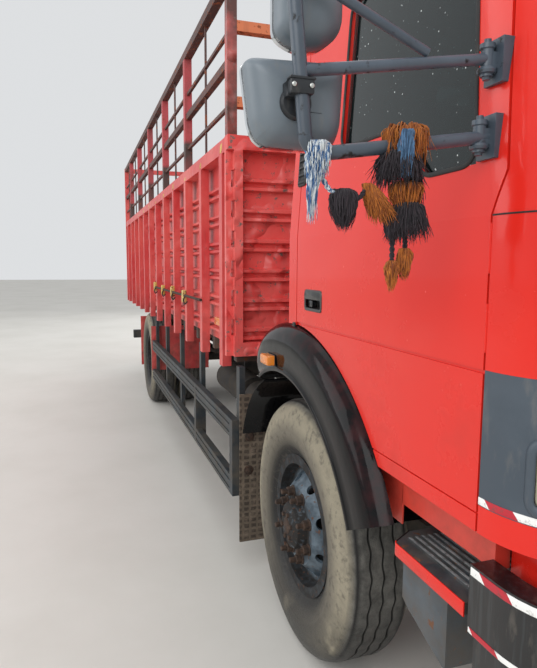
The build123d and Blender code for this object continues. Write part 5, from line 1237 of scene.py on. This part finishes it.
class TRUCK_OT_front(bpy.types.Operator):
    """Bumper tape, corner lamps, headlamp rims and the front grille"""

    bl_idname = "truck.front"
    bl_label = "Front"

    def execute(self, context):
        strips = [tape(*span, BUMPER_LOW.x + 0.004, BUMPER_HIGH.x, BUMPER_HIGH.y, BUMPER_CORNER_R)
                  for span in BUMPER_TAPES]
        strips.append(tape(BAND_LOW.z + 0.002, BAND_LOW.z + 0.018, BAND_LOW.x + 0.004, BAND_HIGH.x,
                           BAND_HIGH.y, CORNER_R))
        piece("marker_tape", "truck", "tape", strips)
        seam = tape(BELT_Z - SEAM_HALF, BELT_Z + SEAM_HALF, SEAM_START_X, CAB_NOSE_X, CAB_HALF, CORNER_R)
        piece("belt_seam", "truck", "rubber", [seam])

        rims, rings = [], []
        x, z = CORNER_LAMP
        for out in SIDE_NAMES:
            outer = oblong((x - 0.050, z - 0.068), (x + 0.050, z + 0.068), 0.026, 8)
            rims.append(bead(SIDE, outer, out * (corner_face(outer[:, 0]) + 0.001), 0.012, 0.007, 10))
            inner = oblong((x - 0.040, z - 0.058), (x + 0.040, z + 0.058), 0.020, 8)
            rings.append(bead(SIDE, inner, out * (corner_face(inner[:, 0]) - 0.004), 0.006, 0.004))
        piece("corner_lamp_rims", "truck", "band", rims, crease=60)
        piece("corner_lamp_rings", "truck", "cream", rings, crease=60)

        bars = [stacked(FRONT, oblong((-0.62, z - 0.014), (0.62, z + 0.014), 0.008), [
            (0, CAB_NOSE_X - 0.002), (0, CAB_NOSE_X + 0.004), (0.003, CAB_NOSE_X + 0.007),
            (0.009, CAB_NOSE_X + 0.008)]) for z in GRILLE_BARS_Z]
        outline = oblong((-GRILLE_HALF, GRILLE_Z[0]), (GRILLE_HALF, GRILLE_Z[1]), 0.03, 6)
        bars.append(bead(FRONT, outline, CAB_NOSE_X + 0.001, 0.012, 0.007, 10))
        piece("front_grille", "truck", "grained", bars)
        return {"FINISHED"}


class TRUCK_OT_steps(bpy.types.Operator):
    """Painted edges of the steps, the sheets that close the sill and the worn strips on the ribs"""

    bl_idname = "truck.steps"
    bl_label = "Steps"

    def execute(self, context):
        edges, sheets, treads = [], [], []
        level, sill = STEP_HIGH.z - 0.004 - STEP_THICK / 2, CAB_HALF - SILL_IN
        for out in SIDE_NAMES:
            path = rounded([(STEP_LOW.x - 0.001, out * (STEP_HIGH.y - 0.072), level),
                            (STEP_LOW.x + 0.045, out * (STEP_HIGH.y + 0.001), level),
                            (STEP_HIGH.x, out * (STEP_HIGH.y + 0.001), level)], 0.012, 6, closed=False)
            section = oblong((-0.0016, -STEP_THICK / 2), (0.0016, STEP_THICK / 2), 0.001, 3)
            edges.append(swept(path, section, (0, 0, 1)))
            outline = oblong((FRONT_AXLE + 0.700, 0.900), (FRONT_AXLE + 0.833, 1.248), 0.002, 3)
            sheets.append(slab(SIDE, outline, out * (sill - 0.005), out * sill, 0.001))
            for line in STEP_HIGH.y - 0.0465 - STEP_RIB_PITCH * np.arange(STEP_RIBS):
                pad = oblong((STEP_LOW.x + 0.043, line - 0.0042), (STEP_HIGH.x - 0.012, line + 0.0042), 0.003)
                treads.append(slab(TOP, pad * (1, out), STEP_HIGH.z - 0.002, STEP_HIGH.z + 0.0006, 0.0006))
        piece("step_edges", "truck", "cab", edges)
        piece("sill_closing_sheets", "truck", "sill", sheets)
        piece("step_treads", "truck", "scraped", treads)
        return {"FINISHED"}


# Trim of the load body

POSTS_X = FRONT_AXLE - 0.860 - 0.530 * np.arange(12)
BODY_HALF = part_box("side_posts")[1].y
PANEL_Y = BODY_HALF - 0.035
FLAP_FACE_X = FRONT_AXLE - 0.640
FLAP_BOLTS = ((1.089, 0.781), (1.102, 0.724), (1.107, 0.543))
ROD_Z, ROD_R, HOOK_R = 1.400, 0.009, 0.0055
HOOK = (
    # ahead of the post, outwards from the rod, down from the rod
    (0.060, 0.0, 0.0), (0.064, 0.018, 0.030), (0.085, 0.012, 0.062), (0.105, -0.004, 0.040),
)


class TRUCK_OT_body_trim(bpy.types.Operator):
    """Locking rods with their sockets and hooks, reflectors, paint marks, flap bolts and blank plates"""

    bl_idname = "truck.body_trim"
    bl_label = "Body trim"

    def execute(self, context):
        rods, sockets, marks, reflectors, bolts = [], [], [], [], []
        for out in SIDE_NAMES:
            line = out * (BODY_HALF + 0.013)
            rods.append(swept([(POSTS_X[1] + 0.06, line, ROD_Z), (POSTS_X[5] - 0.06, line, ROD_Z)],
                              circle((0, 0), ROD_R, 12), (0, 1, 0)))
            for index, x in enumerate(POSTS_X[2:6]):
                z = ROD_Z + 0.012 * (index % 2)
                sockets.append(block(SIDE, (x - 0.030, z - 0.050), (x + 0.030, z + 0.036), 0.010,
                                     out * (BODY_HALF - 0.002), out * (BODY_HALF + 0.026), 0.004))
                hook = rounded([(x + ahead, line + out * aside, ROD_Z - drop) for ahead, aside, drop in HOOK],
                               0.014, 6, closed=False)
                rods.append(swept(hook, circle((0, 0), HOOK_R, 10), (0, 1, 0)))
            for index, x in enumerate(POSTS_X[:9]):
                high = 2.244 - 0.012 * (index % 3)
                mark = rounded([(x - 0.022, 2.196), (x + 0.016, 2.199), (x + 0.024, high),
                                (x - 0.014, high - 0.008)], 0.006)
                marks.append(slab(SIDE, mark, out * (BODY_HALF - 0.006), out * (BODY_HALF - 0.003), 0.0008))
            reflectors.append(block(SIDE, (FRONT_AXLE - 1.150, 1.268), (FRONT_AXLE - 1.010, 1.312), 0.006,
                                    out * (PANEL_Y - 0.020), out * (PANEL_Y + 0.004), 0.002))
            for y, z in FLAP_BOLTS:
                for radius, sides, proud, edge in ((0.017, 6, 0.010, 0.003), (0.026, 20, 0.003, 0.001)):
                    bolts.append(slab(FRONT, circle((out * y, z), radius, sides),
                                      FLAP_FACE_X - 0.001, FLAP_FACE_X + proud, edge))
        piece("locking_rods", "truck", "rust", rods)
        piece("rod_sockets", "truck", "dab", sockets)
        piece("post_marks", "truck", "dab", marks)
        piece("side_reflectors", "truck", "amber_lens", reflectors)
        piece("flap_bolts", "truck", "rust", bolts)
        plates = [block(FRONT, (-0.25, z - 0.055), (0.25, z + 0.055), 0.012, face - ahead * 0.001,
                        face + ahead * 0.004, 0.001)
                  for ahead, face, z in ((-1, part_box("rear_frame")[0].x, 1.141), (1, BUMPER_HIGH.x, 0.745))]
        piece("blank_plates", "truck", "plate", plates)
        return {"FINISHED"}


# Wool tassels

TASSELS = (
    # kind, yarn, offset and height of the tie, radius, length, lean outwards, forward, strands
    ("hank", "blue_yarn", 1.514, 1.834, 0.023, 0.060, 0.0, 0.004, 260),
    ("tail", "blue_yarn", 1.520, 1.800, 0.016, 0.098, 0.05, 0.004, 130),
    ("onion", "black_yarn", 1.459, 1.754, 0.026, 0.064, 0.0, 0.0, 460),
    ("broom", "orange_yarn", 1.412, 1.766, 0.026, 0.066, -0.55, 0.0, 380),
    ("mop", "orange_yarn", 1.335, 1.866, 0.043, 0.056, 0.0, 0.0, 560),
    ("hank", "faded_yarn", 1.352, 1.860, 0.014, 0.076, 0.0, 0.036, 150),
    ("skirt", "black_yarn", 1.350, 1.826, 0.047, 0.058, 0.0, 0.004, 620),
    ("skirt", "black_yarn", 1.316, 1.806, 0.018, 0.078, -0.1, 0.0, 140),
    ("onion", "orange_yarn", 1.330, 1.774, 0.033, 0.056, 0.0, 0.0, 460),
    ("skirt", "black_yarn", 1.325, 1.734, 0.041, 0.066, 0.0, 0.002, 620),
    ("onion", "black_yarn", 1.358, 1.708, 0.017, 0.044, 0.0, 0.004, 180),
    ("onion", "orange_yarn", 1.327, 1.648, 0.015, 0.054, 0.0, 0.0, 170),
    ("onion", "orange_yarn", 1.355, 1.624, 0.013, 0.052, 0.0, 0.0, 150),
)
LINKS = (
    # yarn, then offset and height of each end
    ("blue_yarn", (1.512, 1.795), (1.470, 1.748)),
    ("black_yarn", (1.480, 1.752), (1.459, 1.748)),
    ("black_yarn", (1.448, 1.742), (1.412, 1.762)),
    ("black_yarn", (1.334, 1.862), (1.326, 1.706)),
    ("black_yarn", (1.355, 1.694), (1.355, 1.616)),
    ("black_yarn", (1.327, 1.694), (1.327, 1.640)),
)
SPREADS = {
    # share of the radius along a strand, from 0 at the tie to 1 at the tip, and the rise over the tie
    "onion": (lambda t: np.sin(pi * (0.14 + 0.74 * t)), 0.10),
    "skirt": (lambda t: 0.30 + 0.75 * t ** 0.6, 0.22),
    "broom": (lambda t: 0.30 + 0.80 * t, 0.05),
    "mop": (lambda t: np.sin(np.minimum(t * 2.4, 1.5)), 0.55),
    "hank": (lambda t: 0.80 + 0.20 * np.sin(t * 3.0), 0.05),
    "tail": (lambda t: 1.0 - 0.75 * t, 0.05),
}
STRAND_R = 0.0013


def strands(kind, offset, height, radius, length, lean, forward, count, seed):
    """Bundle of bent yarn ends: each starts at the tie, swings out to its share of the radius and hangs.

    place = tie + radius * share * spread(t) + curl + flick * t^3, and height falls as length * t^1.25.
    """
    chance = np.random.default_rng(seed)
    turn = chance.uniform(0, tau, count)[:, None]
    out = np.sqrt(chance.uniform(0.02, 1, count))[:, None]
    reach = length * chance.uniform(0.62, 1.14, count)[:, None]
    flick = chance.normal(0, 0.16, (3, count, 1)) * radius
    t = np.linspace(0, 1, 8)[None, :]
    spread, rise = SPREADS[kind]
    curl = 0.0024 * np.sin(t * 9 + turn * 5)
    far = radius * out * spread(t)
    x = TUBE_X + forward + (far + curl) * np.cos(turn) + flick[0] * t ** 3
    y = -offset + (far + curl) * np.sin(turn) - lean * reach * t + flick[1] * t ** 3
    z = height + radius * rise * np.sin(np.minimum(t * 3, pi)) * out - reach * t ** 1.25 + flick[2] * t ** 3
    line = np.stack([x, y, z], -1)
    ahead = np.gradient(line, axis=1)
    across = np.cross(ahead, (0.31, 0.87, 0.38))
    across /= np.linalg.norm(across, axis=-1, keepdims=True)
    beside = np.cross(across, ahead)
    beside /= np.linalg.norm(beside, axis=-1, keepdims=True)
    ring = tau * np.arange(4) / 4
    thick = STRAND_R * (1 - 0.85 * t ** 3)[..., None, None]
    points = line[:, :, None] + thick * (
        np.cos(ring)[:, None] * across[:, :, None] + np.sin(ring)[:, None] * beside[:, :, None])
    per = points.shape[1] * 4
    _, quads, _ = woven(points[0], wrap_cols=True)
    starts = (np.arange(count) * per)[:, None, None]
    return points.reshape(-1, 3), (quads[None] + starts).reshape(-1, 4), []


class TRUCK_OT_tassels(bpy.types.Operator):
    """Bundles of yarn on the lower mirror arm and the twisted yarn that links them"""

    bl_idname = "truck.tassels"
    bl_label = "Tassels"

    def execute(self, context):
        groups = {}
        for seed, (kind, wool, *values) in enumerate(TASSELS):
            groups.setdefault(wool, []).append(strands(kind, *values, seed))
        for wool, (y0, z0), (y1, z1) in LINKS:
            t = np.linspace(0, 1, 24)[:, None]
            for phase in (0, pi):
                twist = 0.0028 * np.concatenate([np.cos(phase + 22 * t), np.sin(phase + 22 * t)], 1)
                path = np.concatenate([
                    TUBE_X + twist[:, :1], -(y0 + (y1 - y0) * t) + twist[:, 1:],
                    z0 + (z1 - z0) * t - 0.02 * np.sin(pi * t) * abs(y1 - y0) / 0.05], 1)
                groups.setdefault(wool, []).append(swept(path, circle((0, 0), 0.0030, 6), (1, 0, 0)))
        for index, (wool, shapes) in enumerate(groups.items()):
            piece(f"tassels_{wool}", "cab_door_right", wool, shapes, ["tassels"] if index == 0 else (),
                  crease=80)
        return {"FINISHED"}


# Stage

CAMERA_PLACE = (FRONT_AXLE + 2.163, -1.930)
CAMERA_TURN, CAMERA_PITCH, CAMERA_ROLL = radians(18.35), radians(6.81), radians(0.29)
SENSOR_WIDTH = 36.0
FLOOR_HALF = 60.0
SOFT_BOXES = (
    # name, place, what it faces, side of the square, power in watts
    ("key", (9.0, -7.0, 6.5), (2.5, -1.0, 1.2), 7.0, 450),
    ("side", (-2.0, -11.0, 6.0), (-1.0, 0.0, 1.4), 8.0, 350),
    ("fill", (3.0, 10.0, 6.0), (0.0, 0.0, 1.4), 8.0, 300),
    ("rear", (-12.0, 3.0, 6.0), (-3.0, 0.0, 1.5), 7.0, 260),
    ("top", (0.0, 0.0, 11.0), (0.0, 0.0, 0.0), 10.0, 220),
)


def camera_axes():
    """Forward, right and up of a camera that looks back along -X, turned, tilted and rolled."""
    forward = Vector((-cos(CAMERA_TURN) * cos(CAMERA_PITCH), sin(CAMERA_TURN) * cos(CAMERA_PITCH),
                      -sin(CAMERA_PITCH)))
    level = forward.cross(Vector((0, 0, 1))).normalized()
    upright = level.cross(forward)
    right = cos(CAMERA_ROLL) * level + sin(CAMERA_ROLL) * upright
    up = -sin(CAMERA_ROLL) * level + cos(CAMERA_ROLL) * upright
    return forward, right, up


class TRUCK_OT_stage(bpy.types.Operator):
    """Put up the floor, the soft lights and the camera"""

    bl_idname = "truck.stage"
    bl_label = "Stage"

    def execute(self, context):
        sizes = context.scene.truck_sizes
        corners = [(x * FLOOR_HALF, y * FLOOR_HALF, 0) for x, y in ((-1, -1), (1, -1), (1, 1), (-1, 1))]
        paper = bpy.data.meshes.new("studio_floor")
        paper.from_pydata(corners, [], [(0, 1, 2, 3)])
        paper.materials.append(finish("pale_studio_paper", studio_floor))
        floor = bpy.data.objects.new("studio_floor", paper)
        context.scene.collection.objects.link(floor)

        for name, place, target, side, power in SOFT_BOXES:
            lamp = bpy.data.lights.new("soft_" + name, "AREA")
            lamp.shape = "SQUARE"
            lamp.size = side
            lamp.energy = power
            box = bpy.data.objects.new("soft_" + name, lamp)
            aim = Vector(target) - Vector(place)
            box.location = place
            box.rotation_euler = aim.to_track_quat("-Z", "Y").to_euler()
            context.scene.collection.objects.link(box)

        world = bpy.data.worlds.new("studio_air")
        world.use_nodes = True
        world.node_tree.nodes.clear()
        air = add(world.node_tree, "Background", {"Color": "#E6E8EA", "Strength": 0.92})
        add(world.node_tree, "OutputWorld", {"Surface": air})
        context.scene.world = world
        context.scene.view_settings.view_transform = "Standard"

        lens = bpy.data.cameras.new("camera")
        lens.sensor_width = SENSOR_WIDTH
        lens.lens = sizes.lens
        lens.clip_end = 300
        camera = bpy.data.objects.new("camera", lens)
        forward, right, up = camera_axes()
        turn = Matrix((right, up, -forward)).transposed().to_4x4()
        camera.matrix_world = Matrix.Translation((*CAMERA_PLACE, sizes.camera_height)) @ turn
        context.scene.collection.objects.link(camera)
        context.scene.camera = camera
        return {"FINISHED"}


OPERATORS = (
    TRUCK_OT_finishes, TRUCK_OT_wheels, TRUCK_OT_fenders, TRUCK_OT_mirrors, TRUCK_OT_door_trim,
    TRUCK_OT_seats, TRUCK_OT_cabin, TRUCK_OT_front, TRUCK_OT_steps, TRUCK_OT_body_trim,
    TRUCK_OT_tassels, TRUCK_OT_stage,
)


class TRUCK_PT_panel(bpy.types.Panel):
    """List of the steps and of the values that they read"""

    bl_idname = "TRUCK_PT_panel"
    bl_label = "Truck"
    bl_space_type = "VIEW_3D"
    bl_region_type = "UI"
    bl_category = "Truck"

    def draw(self, context):
        for group in (context.scene.truck_colours, context.scene.truck_sizes):
            for name in group.__annotations__:
                self.layout.prop(group, name)
        for operator in OPERATORS:
            self.layout.operator(operator.bl_idname)


CLASSES = (TruckColours, TruckSizes, *OPERATORS, TRUCK_PT_panel)


def register():
    for item in CLASSES:
        bpy.utils.register_class(item)
    bpy.types.Scene.truck_colours = bpy.props.PointerProperty(type=TruckColours)
    bpy.types.Scene.truck_sizes = bpy.props.PointerProperty(type=TruckSizes)


def unregister():
    del bpy.types.Scene.truck_sizes
    del bpy.types.Scene.truck_colours
    for item in reversed(CLASSES):
        bpy.utils.unregister_class(item)


def main():
    """Register the add-on and run each step in order."""
    register()
    for operator in OPERATORS:
        group, step = operator.bl_idname.split(".")
        getattr(getattr(bpy.ops, group), step)()


if __name__ == "__main__":
    main()
